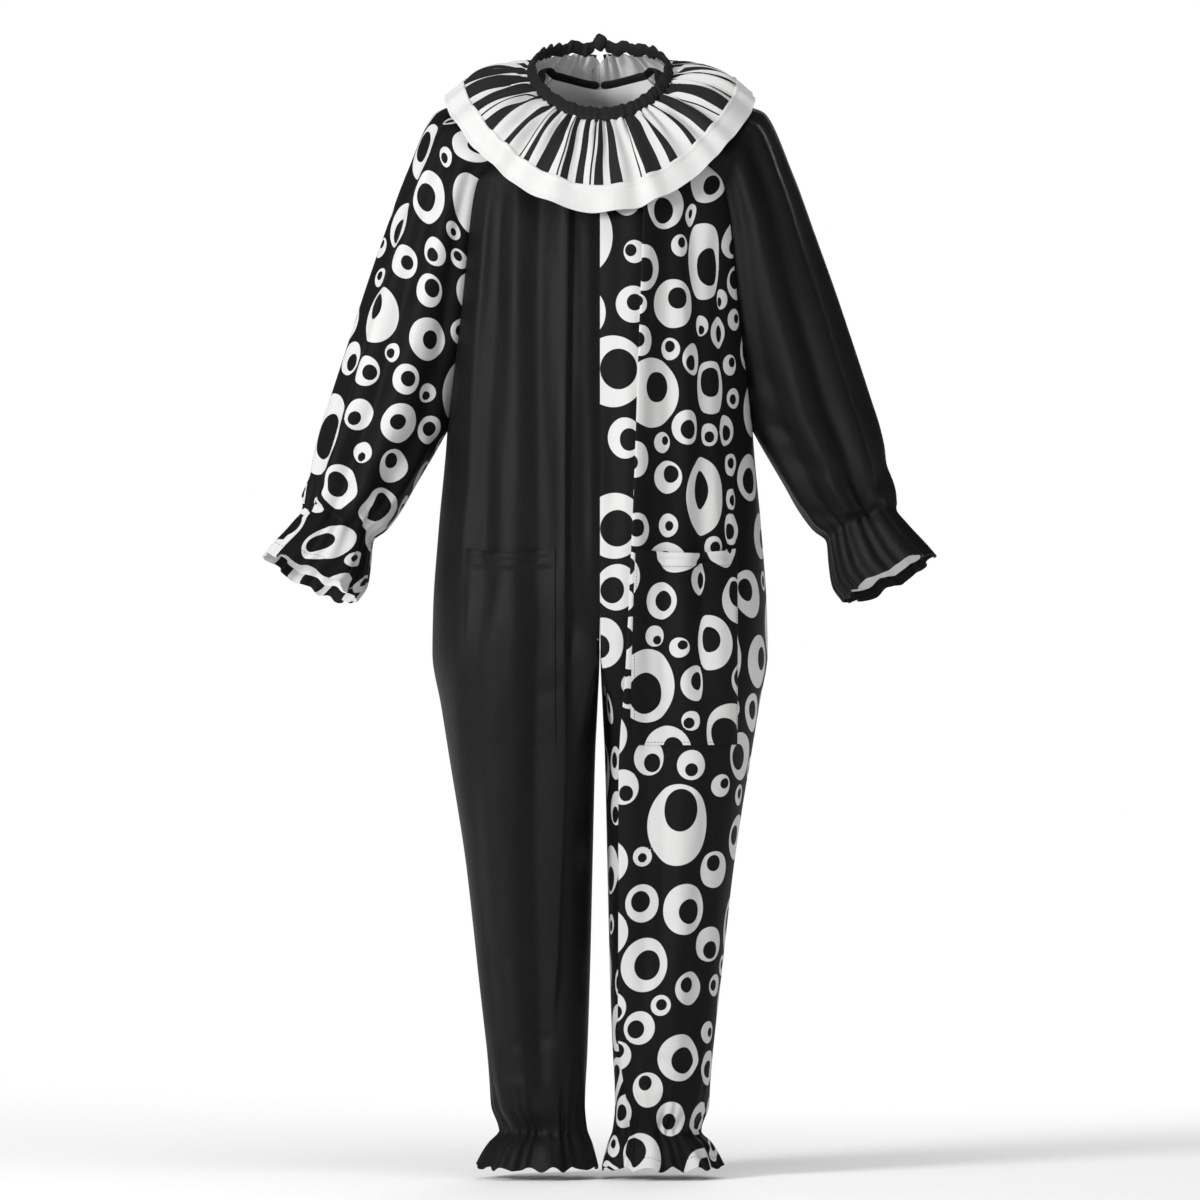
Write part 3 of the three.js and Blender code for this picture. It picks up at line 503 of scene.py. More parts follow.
# Folds by their angle round the arm in degrees, 0 at its front and 90 at its outside, from shoulder to cuff.
SLEEVE_FOLDS = table(
    "shoulder cuff depth width top bottom",
    (-25, -48, -8, 16, 0.06, 0.84),
    (22, 12, -9, 15, 0.06, 0.86),
    (62, 58, -6, 14, 0.1, 0.86),
    (128, 134, -8, 18, 0.06, 0.86),
    (192, 206, -8, 18, 0.1, 0.84),
    (42, 33, 4.5, 10, 0.1, 0.82),
    (2, -16, 4, 11, 0.16, 0.84),
    (80, 84, 3, 12, 0.12, 0.82),
    (104, 108, -3, 8, 0.2, 0.85),
    (160, 170, 4, 14, 0.12, 0.84),
    (-44, -66, 3, 10, 0.5, 0.86),
    (12, 22, -3.5, 7, 0.3, 0.86),
    (54, 46, -3, 6, 0.35, 0.8),
)
# Slack cloth lying in slanted ripples above the elastic and inside the elbow.
SLEEVE_DENTS = table(
    "angle down across long depth lean",
    (-20, 0.62, 34, 0.035, -4, 0.0012),
    (40, 0.7, 34, 0.03, -4, -0.001),
    (100, 0.66, 30, 0.03, -3, 0.001),
    (160, 0.6, 34, 0.035, -4, 0.0012),
    (-50, 0.5, 26, 0.03, -4, 0.0016),
    (-56, 0.42, 26, 0.03, -4, 0.0018),
    (10, 0.77, 40, 0.018, 3, 0.0006),
    (120, 0.76, 40, 0.018, 3, -0.0006),
    (-40, 0.74, 30, 0.02, -4, 0.001),
    (205, 0.48, 26, 0.03, -4, -0.0014),
)


def sleeve_rings(side, at):
    """Each ring as middle + ahead cos(angle) + out sin(angle), from its start angle to that one's mirror.

    Above the underarm a ring's ends lie on the raglan seams, and below it they meet on the inside of the arm.
    """
    rows = np.arange(len(SLEEVE_OUTER["x"]))
    outer = np.stack([curve(rows, SLEEVE_OUTER[axis], at) for axis in "xyz"], -1)
    depth = curve(rows, SLEEVE_OUTER["depth"], at)
    ends = []
    for face, name in ((FRONT, "front"), (BACK, "back")):
        s = section(curve(np.arange(UNDERARM + 1), RAGLAN[name], at))
        angle = seam_angle(s, face)
        radius = body_radius(s, depth_of(s, face), angle)
        ends.append(np.stack([s["mid"] + radius * np.cos(angle), face * radius * np.sin(angle), s["z"]], -1))
    arm = rows[: len(SLEEVE_INNER["x"])] + UNDERARM
    inner = np.stack([curve(arm, SLEEVE_INNER[axis], at) for axis in "xyz"], -1)
    above = (at < UNDERARM)[:, None]
    base = np.where(above, (ends[0] + ends[1]) / 2, inner)
    half = np.where(at < UNDERARM, (ends[1][:, 1] - ends[0][:, 1]) / 2, 0)
    depth = np.maximum(depth, half)
    bend = np.sqrt(np.maximum(1 - (half / depth) ** 2, 0))
    inset = (bend / (1 + bend))[:, None]
    level = np.stack([0 * at, -depth, curve(arm, SLEEVE_INNER["lift"], at) * (at > UNDERARM)], -1)
    leaning = (ends[0] - base) * (depth / np.maximum(half, 1))[:, None]
    ahead = np.where((half > 1)[:, None], leaning, level)
    reach = outer - base
    turned = np.array([side, 1, 1])
    return (base + reach * inset) * turned, ahead * turned, reach * (1 - inset) * turned, -np.arcsin(bend)


def sleeve_surface(side, rows, columns):
    """A sleeve as a grid of points with its flat cloth coordinates, its rows even along the outer arm."""
    last = len(SLEEVE_OUTER["x"]) - 1
    dense = np.linspace(0, last, 600)
    path = np.stack([curve(np.arange(last + 1), SLEEVE_OUTER[axis], dense) for axis in "xyz"], -1)
    length = np.concatenate([[0], np.cumsum(np.linalg.norm(np.diff(path, axis=0), axis=1))])
    at = np.interp(np.linspace(0, length[-1], rows + 1), length, dense)
    at[0], at[-1] = 0, last
    middle, ahead, out, start = sleeve_rings(side, at)
    share = np.linspace(0, 1, columns + 1)[None, :]
    angle = mix(start[:, None], math.pi - start[:, None], share)
    spoke = ahead[:, None] * np.cos(angle)[..., None] + out[:, None] * np.sin(angle)[..., None]
    edge = np.minimum(angle - start[:, None], math.pi - start[:, None] - angle)
    down = (at / last)[:, None] + 0 * angle
    degrees = np.degrees(angle)
    moved = 0
    for row in rows_of(SLEEVE_FOLDS):
        away = (degrees - mix(row["shoulder"], row["cuff"], down)) / row["width"]
        fade = rise(down, row["top"], row["top"] + 0.15)
        fade = fade * (1 - rise(down, row["bottom"] - 0.1, row["bottom"]))
        moved = moved + row["depth"] * fade * np.exp(-(away**2))
    for row in rows_of(SLEEVE_DENTS):
        across = degrees - row["angle"]
        below = down - row["down"] - row["lean"] * across * side
        moved = moved + row["depth"] * np.exp(-((across / row["across"]) ** 2) - (below / row["long"]) ** 2)
    along_arm = np.interp(at, dense, length)[:, None] + 0 * angle
    moved = moved + slack(degrees * 1.6, along_arm, 20 + side)
    moved = moved * rise(edge, 0, 0.4)
    elastic = np.interp(ELASTIC, dense, length)
    turn = angle + math.pi / 2
    above = 1 - rise(elastic - along_arm, 0, 75)
    frill = rise(along_arm - elastic, 0, length[-1] - elastic)
    up = along_arm < elastic
    size = np.where(up, 2.2 * above, mix(2.2, 2.4, frill))
    gather = size * uneven(turn, 31 + side, 19) + np.where(up, 2 * above, mix(2, 4, frill)) * np.cos(6 * turn)
    moved = moved + gather * rise(edge, 0, 0.15)
    points = middle[:, None] + spoke + unit(spoke) * moved[..., None]
    points = points + unit(np.gradient(points, axis=0)) * (frill * 3 * uneven(turn, 40 + side, 9))[..., None]
    along = arc_lengths(points)
    centre = along[:, columns // 2][:, None]
    return points, np.stack([(along - centre) * side, along_arm], -1), elastic


# ---- the ruff's form ----
NECK_EDGE_TOP = {"wide": 83, "front": 70, "back": 67, "front_z": -57, "side_z": 4, "back_z": 35}
NECK_EDGE = {"wide": 92, "front": 80, "back": 71, "front_z": -73, "side_z": -9, "back_z": 19}
OUTER_EDGE = {"wide": 196, "front": 152, "back": 150, "front_z": -192, "side_z": -43, "back_z": -86}
BORDER_FROM = 0.735
RUFF_OPENING = table("along half_gap", (0, 10), (0.17, 0.15), (1, 0.15))
BULGE_FRONT, BULGE_SIDE, BULGE_BACK = 8, 16, 18


def ring_point(ring, angle):
    """A ring round the neck: an oval whose height bends with the cosine of the angle and its square."""
    c = np.cos(angle)
    slope = (ring["front_z"] - ring["back_z"]) / 2
    bend = (ring["front_z"] + ring["back_z"]) / 2 - ring["side_z"]
    deep = np.where(c > 0, ring["front"], ring["back"])
    return np.stack([ring["wide"] * np.sin(angle), -c * deep, ring["side_z"] + slope * c + bend * c * c], -1)


def ruff_way(angle):
    """The direction that stands off the ruff's slope: across the slope and along the outer edge."""
    slope = ring_point(OUTER_EDGE, angle) - ring_point(NECK_EDGE, angle)
    round_it = ring_point(OUTER_EDGE, angle + 0.01) - ring_point(OUTER_EDGE, angle - 0.01)
    way = unit(np.cross(slope, round_it))
    return way * np.where(way[..., 2:] < 0, -1, 1)


def ruff_base(angle, share):
    """The ruff's slope from its neck edge, share 0, to its outer edge, share 1, swelling between them."""
    c = np.cos(angle)
    bulge = mix(BULGE_SIDE, np.where(c > 0, BULGE_FRONT, BULGE_BACK), c * c) * np.sin(math.pi * share)
    point = mix(ring_point(NECK_EDGE, angle), ring_point(OUTER_EDGE, angle), np.asarray(share)[..., None])
    return point + ruff_way(angle) * bulge[..., None]


def ruff_folds(angle, share):
    """Tight gathers at the neck that run out into fewer, softer folds, and slow waves in the border."""
    tight = 3 * (1 - rise(share, 0.1, 0.6)) * uneven(angle, 51, 52)
    soft = 4.4 * rise(share, 0.02, 0.35) * (1 - 0.6 * rise(share, 0.6, 0.85)) * uneven(angle, 52, 29)
    slow = 4.2 * rise(share, 0.35, 1) * uneven(angle, 53, 15)
    return tight + soft + slow


# ---- the print and the stripes ----
# The print's discs, largest first: their radii, the share of the cloth that they cover, the gap between them
# and how much longer than wide they may be.
DISC_SIZES = table(
    "smallest largest share gap longer",
    (38, 43, 0.12, 6, 0.3),
    (26, 33, 0.21, 5, 0.2),
    (18, 23, 0.16, 4.5, 0.15),
    (12, 14.5, 0.06, 4.5, 0.1),
)


def scatter(seed, low, high):
    """Discs strewn over a flat piece, none touching: x, y, radius, stretch, and their spots' x, y and radius."""
    r = np.random.default_rng(seed)
    discs = np.zeros((0, 7))
    area = (high[0] - low[0]) * (high[1] - low[1])
    for size in rows_of(DISC_SIZES):
        wanted = size["share"] * area
        for one in r.uniform(size=(2600, 7)):
            radius, stretch = mix(size["smallest"], size["largest"], one[0]), 1 + size["longer"] * one[1]
            x, y = mix(low[0], high[0], one[2]), mix(low[1], high[1], one[3])
            apart = np.hypot(discs[:, 0] - x, (discs[:, 1] - y) / (stretch + discs[:, 3]) * 2) - discs[:, 2]
            if wanted < 0 or apart.min(initial=1e9) < radius + size["gap"]:
                continue
            spot, way = radius * (0.42 + 0.15 * one[4]), 2 * math.pi * one[5]
            off = (radius - spot) * (0.2 + 0.62 * one[6])
            spot_at = off * math.cos(way), off * math.sin(way)
            discs = np.vstack([discs, [x, y, radius, stretch, *spot_at, spot]])
            wanted -= math.pi * radius**2 * stretch
    return discs


def print_fields(flat, seed):
    """How far inside a disc, and inside the spot of a disc, each point of the flat cloth lies."""
    low, high = flat.reshape(-1, 2).min(0) - 40, flat.reshape(-1, 2).max(0) + 40
    disc = np.full(flat.shape[:-1], -50.0)
    spot = disc.copy()
    for x, y, radius, stretch, spot_x, spot_y, spot_radius in scatter(seed, low, high):
        across, down = flat[..., 0] - x, (flat[..., 1] - y) / stretch
        disc = np.maximum(disc, radius - np.hypot(across, down))
        spot = np.maximum(spot, spot_radius - np.hypot(across - spot_x, down - spot_y))
    return {"disc": disc, "spot": spot}


def stripe_edges():
    """Where the uneven stripes' edges lie round the ruff, as angles, and whether each stripe is black."""
    r = np.random.default_rng(61)
    widths = []
    while sum(widths) < 940:
        widths += [r.choice([7, 9, 12, 15, 18]), r.choice([6, 8, 11, 15, 19])]
        if r.random() < 0.35:
            widths += [1.8, r.choice([3, 5])]
    edges = np.concatenate([[0], np.cumsum(widths)])
    return (edges / edges[-1] - 0.5) * 2 * math.pi, np.arange(len(widths)) % 2 == 0


def new_object(name, points, faces, materials, face_material=None, flat=None, fields=None, sharp=None):
    """A mesh with its materials. flat is each point's place on the flat cloth; fields are point values."""
    shown_as = f"{name}_cloth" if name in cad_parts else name
    mesh = bpy.data.meshes.new(shown_as)
    mesh.from_pydata((points * MM).tolist(), [], faces)
    for one in materials:
        mesh.materials.append(one)
    mesh.polygons.foreach_set("use_smooth", np.ones(len(faces), bool))
    if face_material is not None:
        mesh.polygons.foreach_set("material_index", face_material.astype(np.int32))
    if flat is not None:
        corners = np.zeros(len(mesh.loops), np.int32)
        mesh.loops.foreach_get("vertex_index", corners)
        uv = (flat[corners] * MM).astype(np.float32)
        mesh.uv_layers.new(name="cloth").data.foreach_set("uv", uv.ravel())
    for field, values in (fields or {}).items():
        mesh.attributes.new(field, "FLOAT", "POINT").data.foreach_set("value", values.astype(np.float32))
    if sharp is not None:
        ends = np.zeros(len(mesh.edges) * 2, np.int32)
        mesh.edges.foreach_get("vertices", ends)
        first, last = sharp[ends[0::2]], sharp[ends[1::2]]
        is_sharp = (first > 0) & (first == last)
        mesh.attributes.new("sharp_edge", "BOOLEAN", "EDGE").data.foreach_set("value", is_sharp)
    mesh.update()
    obj = bpy.data.objects.new(shown_as, mesh)
    bpy.context.scene.collection.objects.link(obj)
    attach(obj, "root")
    return obj


def quads(ids):
    return np.stack([ids[:-1, :-1], ids[:-1, 1:], ids[1:, 1:], ids[1:, :-1]], -1).reshape(-1, 4)


def cloth(
    name, points, normals, flat, face, inside, thickness=CLOTH, fields=None, hem_rows=0, face_columns=None
):
    """A closed wall of cloth: the grid, the same grid moved in along its normals, and a rim between them.

    hem_rows rows before the last are turned in, so they are thicker and show the face of the cloth inside.
    """
    rows, columns = points.shape[:2]
    turned = (np.arange(rows) >= rows - hem_rows)[:, None] & (hem_rows > 0)
    under = points - normals * (thickness * np.where(turned, 2.2, 1))[..., None]
    ids = np.arange(rows * columns).reshape(rows, columns)
    loop = np.concatenate([ids[0, :-1], ids[:-1, -1], ids[-1, :0:-1], ids[::-1, 0]])
    below = loop + rows * columns
    rim = np.stack([loop[1:], loop[:-1], below[:-1], below[1:]], -1)
    faces = np.concatenate([quads(ids), quads(ids + rows * columns)[:, [0, 3, 2, 1]], rim])
    every = np.concatenate([points.reshape(-1, 3), under.reshape(-1, 3)])
    a, b, c, d = (every[faces[:, k]] for k in range(4))
    if (np.einsum("ij,ij->i", a, np.cross(b, c)) + np.einsum("ij,ij->i", a, np.cross(c, d))).sum() < 0:
        faces = faces[:, ::-1]
    outer = np.tile(face_columns if face_columns is not None else np.zeros(columns - 1, int), rows - 1)
    wrong = len(face)
    inner = np.repeat(np.where(np.arange(rows - 1) < rows - 1 - hem_rows, wrong, 0), columns - 1)
    edge = np.zeros((rows, columns), int)
    edge[0], edge[-1], edge[:, 0], edge[:, -1] = 1, 1, 1, 1
    return new_object(
        name,
        every,
        faces.tolist(),
        [*face, inside],
        np.concatenate([outer, inner, np.zeros(len(rim), int)]),
        np.concatenate([flat.reshape(-1, 2)] * 2),
        {field: np.concatenate([values.ravel()] * 2) for field, values in (fields or {}).items()},
        np.concatenate([edge.ravel(), edge.ravel() * 2]),
    )


def tape(name, middle, up, out, half_height, half_thickness, material, puckers=None):
    """A soft tape: a rounded flat section carried along a path, puckered, and drawn in at both ends."""
    n, around = len(middle), 16
    turn = np.linspace(0, 2 * math.pi, around, endpoint=False)[None, :]
    swell = np.ones(n) if puckers is None else puckers
    ends = np.sqrt(np.clip(1 - np.clip(np.abs(np.linspace(-1, 1, n)) * 40 - 39, 0, 0.999) ** 2, 0, 1))
    tall = (half_height * ends * (1 + (swell - 1) * 0.35))[:, None] * power(np.sin(turn), 0.7)
    thick = (half_thickness * ends * swell)[:, None] * power(np.cos(turn), 0.8)
    points = middle[:, None] + up[:, None] * tall[..., None] + out[:, None] * thick[..., None]
    ids = np.arange(n * around).reshape(n, around)
    faces = quads(np.concatenate([ids, ids[:, :1]], axis=1)).tolist()
    faces += [ids[0].tolist(), ids[-1, ::-1].tolist()]
    along = np.concatenate([[0], np.cumsum(np.linalg.norm(np.diff(middle, axis=0), axis=1))])
    flat = np.stack([along[:, None] + 0 * turn, turn * 4 + 0 * along[:, None]], -1).reshape(-1, 2)
    every = points.reshape(-1, 3)
    tris = np.array(faces[:-2])
    a, b, c = (every[tris[:, k]] for k in range(3))
    if np.einsum("ij,ij->i", a - every.mean(0), np.cross(b - a, c - a)).sum() < 0:
        faces = [one[::-1] for one in faces]
    return new_object(name, every, faces, [material], None, flat)


def stitches(name, paths, material, length=2.6, step=4.2, thick=0.34):
    """Sewing stitches joined in one mesh: short pointed bars, half sunk, along paths of points and normals."""
    bars, faces, count = [], [], 0
    for points, normals in paths:
        along = np.concatenate([[0], np.cumsum(np.linalg.norm(np.diff(points, axis=0), axis=1))])
        at = np.arange(step / 2, along[-1] - step / 2, step)
        place = np.stack([np.interp(at, along, points[:, k]) for k in range(3)], -1)
        ahead = np.stack([np.interp(at + 0.5, along, points[:, k]) for k in range(3)], -1)
        off = unit(np.stack([np.interp(at, along, normals[:, k]) for k in range(3)], -1))
        way = unit(ahead - place)
        side = np.cross(way, off)
        t = np.array([-0.5, -0.3, 0.3, 0.5]) * length
        size = np.array([0.25, 1, 1, 0.25]) * thick
        turn = np.array([0, 1, 2, 3]) * math.pi / 2
        ring = (
            place[:, None, None]
            + way[:, None, None] * t[None, :, None, None]
            + off[:, None, None] * (size[:, None] * np.cos(turn))[None, ..., None]
            + side[:, None, None] * (size[:, None] * np.sin(turn))[None, ..., None]
        )
        ids = np.arange(16).reshape(4, 4)
        bar = quads(np.concatenate([ids, ids[:, :1]], axis=1))
        bar = np.concatenate([bar, [[3, 2, 1, 0], [12, 13, 14, 15]]])
        faces.append((bar[None] + (np.arange(len(at)) * 16)[:, None, None] + count).reshape(-1, 4))
        bars.append(ring.reshape(-1, 3))
        count += len(at) * 16
    points = np.concatenate(bars)
    return new_object(name, points, np.concatenate(faces).tolist(), [material], None, points[:, :2])


# ---- materials ----
def add(tree, kind, settings=None, inputs=None):
    """A shader node: settings are its own properties, and inputs are values or other nodes' outputs."""
    made = tree.nodes.new(kind)
    for key, value in (settings or {}).items():
        setattr(made, key, value)
    for key, value in (inputs or {}).items():
        if isinstance(value, bpy.types.NodeSocket):
            tree.links.new(value, made.inputs[key])
        else:
            made.inputs[key].default_value = value
    return made


def calc(tree, operation, a, b=0.0, c=0.0):
    return add(tree, "ShaderNodeMath", {"operation": operation}, {0: a, 1: b, 2: c}).outputs[0]


def blend(tree, share, a, b):
    mixed = add(tree, "ShaderNodeMix", {"data_type": "RGBA"}, {"Factor": share, 6: a, 7: b})
    return mixed.outputs[2]


def noise(tree, where, scale, detail=3.0):
    made = add(tree, "ShaderNodeTexNoise", None, {"Vector": where, "Scale": scale, "Detail": detail})
    return made.outputs[0]


def fabric(name, colours, roughness, sheen, knit=(1.3, 1.0), rib=0.35, wrinkle=0.5, colour_of=None, soft=0.5):
    """A cloth: two tones in soft patches, V-shaped knit stitches from its flat coordinates, small creases.

    knit is the width and height of a stitch in millimetres; colour_of may lay a print over the ground colour.
    """
    made = bpy.data.materials.new(name)
    made.use_nodes = True
    tree = made.node_tree
    tree.nodes.clear()
    place = add(tree, "ShaderNodeTexCoord").outputs["Object"]
    flat = add(tree, "ShaderNodeUVMap", {"uv_map": "cloth"}).outputs[0]
    u_v = add(tree, "ShaderNodeSeparateXYZ", None, {0: flat})
    wale = calc(tree, "MULTIPLY", u_v.outputs[0], 1000 / knit[0])
    course = calc(tree, "MULTIPLY", u_v.outputs[1], 1000 / knit[1])
    slant = calc(tree, "PINGPONG", wale, 0.5)
    rows = calc(tree, "SINE", calc(tree, "MULTIPLY", calc(tree, "ADD", course, slant), 2 * math.pi))
    stitch = calc(tree, "MULTIPLY_ADD", rows, 0.25, slant)
    patches = noise(tree, place, 9.0, 4.0)
    lint = noise(tree, place, 620.0, 2.0)
    tone = calc(tree, "MULTIPLY_ADD", lint, 0.5, calc(tree, "MULTIPLY_ADD", patches, 1.1, -0.3))
    tone = add(tree, "ShaderNodeClamp", None, {0: tone}).outputs[0]
    ground = blend(tree, tone, (*colours[0], 1), (*colours[1], 1))
    if colour_of:
        ground = colour_of(tree, ground, tone)
    rough = calc(tree, "MULTIPLY_ADD", patches, 0.16, roughness - 0.08)
    stretched = add(tree, "ShaderNodeMapping", None, {"Vector": place, "Scale": (1.0, 1.0, 0.3)}).outputs[0]
    creases = noise(tree, stretched, 46.0, 3.0)
    bump = {"Strength": wrinkle, "Distance": 0.0022, "Height": creases}
    rumpled = add(tree, "ShaderNodeBump", None, bump).outputs[0]
    bump = {"Strength": rib, "Distance": 0.0003, "Height": stitch, "Normal": rumpled}
    knitted = add(tree, "ShaderNodeBump", None, bump).outputs[0]
    surface = add(
        tree,
        "ShaderNodeBsdfPrincipled",
        None,
        {
            "Base Color": ground,
            "Roughness": rough,
            "Normal": knitted,
            "Sheen Weight": sheen,
            "Sheen Roughness": 0.45,
            "Specular IOR Level": soft,
        },
    )
    output = add(tree, "ShaderNodeOutputMaterial")
    tree.links.new(surface.outputs[0], output.inputs["Surface"])
    return made


def printed(tree, ground, tone):
    """White discs with a black spot in each, where the mesh's fields are above zero."""

    def inside(field):
        value = add(tree, "ShaderNodeAttribute", {"attribute_name": field}).outputs["Fac"]
        edge = calc(tree, "MULTIPLY_ADD", value, 2.2, 0.5)
        return add(tree, "ShaderNodeClamp", None, {0: edge}).outputs[0]

    white = blend(tree, tone, (0.5, 0.5, 0.5, 1), (0.6, 0.6, 0.59, 1))
    disc = blend(tree, inside("disc"), ground, white)
    return blend(tree, inside("spot"), disc, ground)


BLACK = ((0.0032, 0.0032, 0.0034), (0.006, 0.006, 0.0062))
black_knit = fabric("black_knit", BLACK, 0.54, 0.01, soft=0.145)
printed_knit = fabric("printed_knit", BLACK, 0.62, 0.012, colour_of=printed, soft=0.1)
pale_inside = fabric("pale_inside", ((0.74, 0.74, 0.74), (0.82, 0.82, 0.81)), 0.85, 0.05, soft=0.2)
BLACK_STRIPE, WHITE_STRIPE = ((0.008,) * 3, (0.014,) * 3), ((0.5, 0.5, 0.5), (0.62, 0.62, 0.61))
BORDER_WHITE = ((0.53, 0.53, 0.53), (0.63, 0.63, 0.62))
TAPE, BLACK_THREAD, WHITE_THREAD = (
    ((0.006,) * 3, (0.011,) * 3),
    ((0.006,) * 3, (0.01,) * 3),
    ((0.5, 0.5, 0.5), (0.6, 0.6, 0.59)),
)
stripe_black = fabric("stripe_black", BLACK_STRIPE, 0.7, 0.03, wrinkle=0.35, soft=0.2)
stripe_white = fabric("stripe_white", WHITE_STRIPE, 0.8, 0.05, wrinkle=0.35, soft=0.2)
white_cloth = fabric("white_cloth", BORDER_WHITE, 0.8, 0.05, wrinkle=0.4, soft=0.2)
black_tape = fabric("black_tape", TAPE, 0.7, 0.03, knit=(0.9, 0.8), soft=0.2)
black_thread = fabric("black_thread", BLACK_THREAD, 0.7, 0.02, knit=(0.5, 0.5), soft=0.15)
white_thread = fabric("white_thread", WHITE_THREAD, 0.6, 0.1, knit=(0.5, 0.5))


# ---- building the jumpsuit ----
def side_name(side):
    return "right" if side == RIGHT else "left"


surfaces, flats = {}, {}
GRID = {  # rows and columns of each panel: finer where a print's edges show
    ("front", RIGHT): (320, 92),
    ("front", LEFT): (388, 112),
    ("back", RIGHT): (290, 76),
    ("back", LEFT): (330, 88),
}
PANEL_LENGTH, SLEEVE_LENGTH = 1335, 620
for face, word in ((FRONT, "front"), (BACK, "back")):
    for side in (RIGHT, LEFT):
        name = f"{word}_{side_name(side)}"
        rows, columns = GRID[word, side]
        points, flat = panel_surface(side, face, rows, columns)
        normals = grid_normals(points, (0, face, 0))
        normals[..., 2] *= 1 - np.exp(-(((points[..., 2] - CROTCH_Z) / 35) ** 2))
        normals = unit(normals)
        middle_way = points * np.array([0, -1, 0]) / (np.abs(points[..., 1:2]) + 20)
        points = groove(points, -unit(points * np.array([1, 1, 0])), middle_way)
        surfaces[name], flats[name] = (points, normals), flat
        black = side == RIGHT
        made = cloth(
            name,
            points,
            normals,
            flat,
            [black_knit if black else printed_knit],
            pale_inside,
            fields=None if black else print_fields(flat, 11 if face == FRONT else 12),
            hem_rows=round(HEM / PANEL_LENGTH * rows),
        )
        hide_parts(*(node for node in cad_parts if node.startswith(name)))

for side in (RIGHT, LEFT):
    name = f"sleeve_{side_name(side)}"
    points, flat, elastic = sleeve_surface(side, 176, 112)
    normals = grid_normals(points, (side, 0, 0.3))
    inward = -unit(points * np.array([1, 1, 0])) * rise(points[..., 2:], UNDERARM_Z - 60, UNDERARM_Z)
    points = groove(points, inward, inward)
    surfaces[name], flats[name] = (points, normals), flat
    black = side == LEFT
    made = cloth(
        name,
        points,
        normals,
        flat,
        [black_knit if black else printed_knit],
        pale_inside,
        fields=None if black else print_fields(flat, 13),
        hem_rows=3,
    )
    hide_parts(name)

# ---- pockets, made from the fronts' own points ----
POCKET_TOP_Z, POCKET_BOTTOM_Z, POCKET_HEM = -612, -862, 21
POCKET_SIDES = {RIGHT: (56, 170), LEFT: (34, 172)}
POCKET_COLUMNS = 45
pocket_paths = {}
for side in (RIGHT, LEFT):
    name, (near, far) = f"pocket_{side_name(side)}", POCKET_SIDES[side]
    points, normals = surfaces[f"front_{side_name(side)}"]
    chosen = (points[:, 0, 2] <= POCKET_TOP_Z) & (points[:, 0, 2] >= POCKET_BOTTOM_Z)
    points, normals, flat = points[chosen], normals[chosen], flats[f"front_{side_name(side)}"][chosen]
    x = np.abs(points[..., 0])
    near = line_at(rows_of(FRONT_LAPS)[0], points[:, 0, 2]) + 5 if side == LEFT else near
    places = mix(column_where(x, far), column_where(x, near), np.linspace(0, 1, POCKET_COLUMNS)[None, :])
    points, normals, flat = (between_columns(grid, places) for grid in (points, normals, flat))
    normals = unit(normals)
    down = (POCKET_TOP_Z - points[:, :1, 2]) / (POCKET_TOP_Z - POCKET_BOTTOM_Z)
    across = np.linspace(-1, 1, POCKET_COLUMNS)[None, :]
    mouth = np.exp(-((down / 0.1) ** 2))
    sag = 7 * mouth * (1 - across**2)
    edge = 1 - (1 - np.abs(across) ** 12) * (1 - down**14)
    hem_share = POCKET_HEM / (POCKET_TOP_Z - POCKET_BOTTOM_Z)
    hem = rise(hem_share - down, -0.012, 0.012)
    ridges = 2.8 * np.exp(-(((down - 0.018) / 0.02) ** 2)) + 2.6 * np.exp(-(((down - 0.075) / 0.015) ** 2))
    mouth_off = 3.4 * mouth * (1 - across**2) + ridges * (1 - across**10)
    off = 1.5 + (0.8 + mouth_off + 0.8 * hem + 0.4 * np.sin(across * 9 + down * 11)) * (1 - edge)
    points = points + normals * off[..., None]
    points[..., 2] -= sag
    normals = grid_normals(points, (0, -1, 0))
    black = side == RIGHT
    made = cloth(
        name,
        points,
        normals,
        flat,
        [black_knit if black else printed_knit],
        black_knit,
        fields=None if black else print_fields(flat, 14),
    )
    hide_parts(name)
    surfaces[name], flats[name] = (points, normals), flat
    row = np.searchsorted(down[:, 0], hem_share)
    whole = slice(None)
    lines = ((row, whole), (whole, 1), (whole, -2), (-2, whole))
    pocket_paths[side] = [(points[line], normals[line]) for line in lines]
    stitches(f"{name}_stitches", pocket_paths[side], black_thread)

# ---- neck band ----
edge_points, edge_ups, edge_outs = [], [], []
for name, reverse in (
    ("back_right", True),
    ("sleeve_right", True),
    ("front_right", False),
    ("front_left", True),
    ("sleeve_left", False),
    ("back_left", False),
):
    points, normals = surfaces[name]
    triple = (points[0], unit(points[0] - points[4]), normals[0])
    start = 1 if edge_points else 0
    for store, values in zip((edge_points, edge_ups, edge_outs), triple):
        store.append((values[::-1] if reverse else values)[start:])
path = np.concatenate(edge_points)
length = np.concatenate([[0], np.cumsum(np.linalg.norm(np.diff(path, axis=0), axis=1))])
even = np.linspace(0, length[-1], 420)


def along_edge(values, width):
    """Values along the neck edge at even steps, smoothed over a width in steps."""
    spread = np.stack([np.interp(even, length, values[:, k]) for k in range(3)], -1)
    padded = np.pad(spread, ((width, width), (0, 0)), "edge")
    kernel = np.hanning(2 * width + 3)[1:-1]
    return np.stack([np.convolve(padded[:, k], kernel / kernel.sum(), "valid") for k in range(3)], -1)


NECK_BAND_HEIGHT = 11
band_up = unit(along_edge(np.concatenate(edge_ups), 24))
band_out = unit(along_edge(np.concatenate(edge_outs), 24))
band_middle = along_edge(path, 2) + band_up * (NECK_BAND_HEIGHT / 2 + 0.2)
made = tape("neck_band", band_middle, band_up, band_out, NECK_BAND_HEIGHT / 2 + 0.3, 1.5, black_tape)
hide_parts("neck_band")

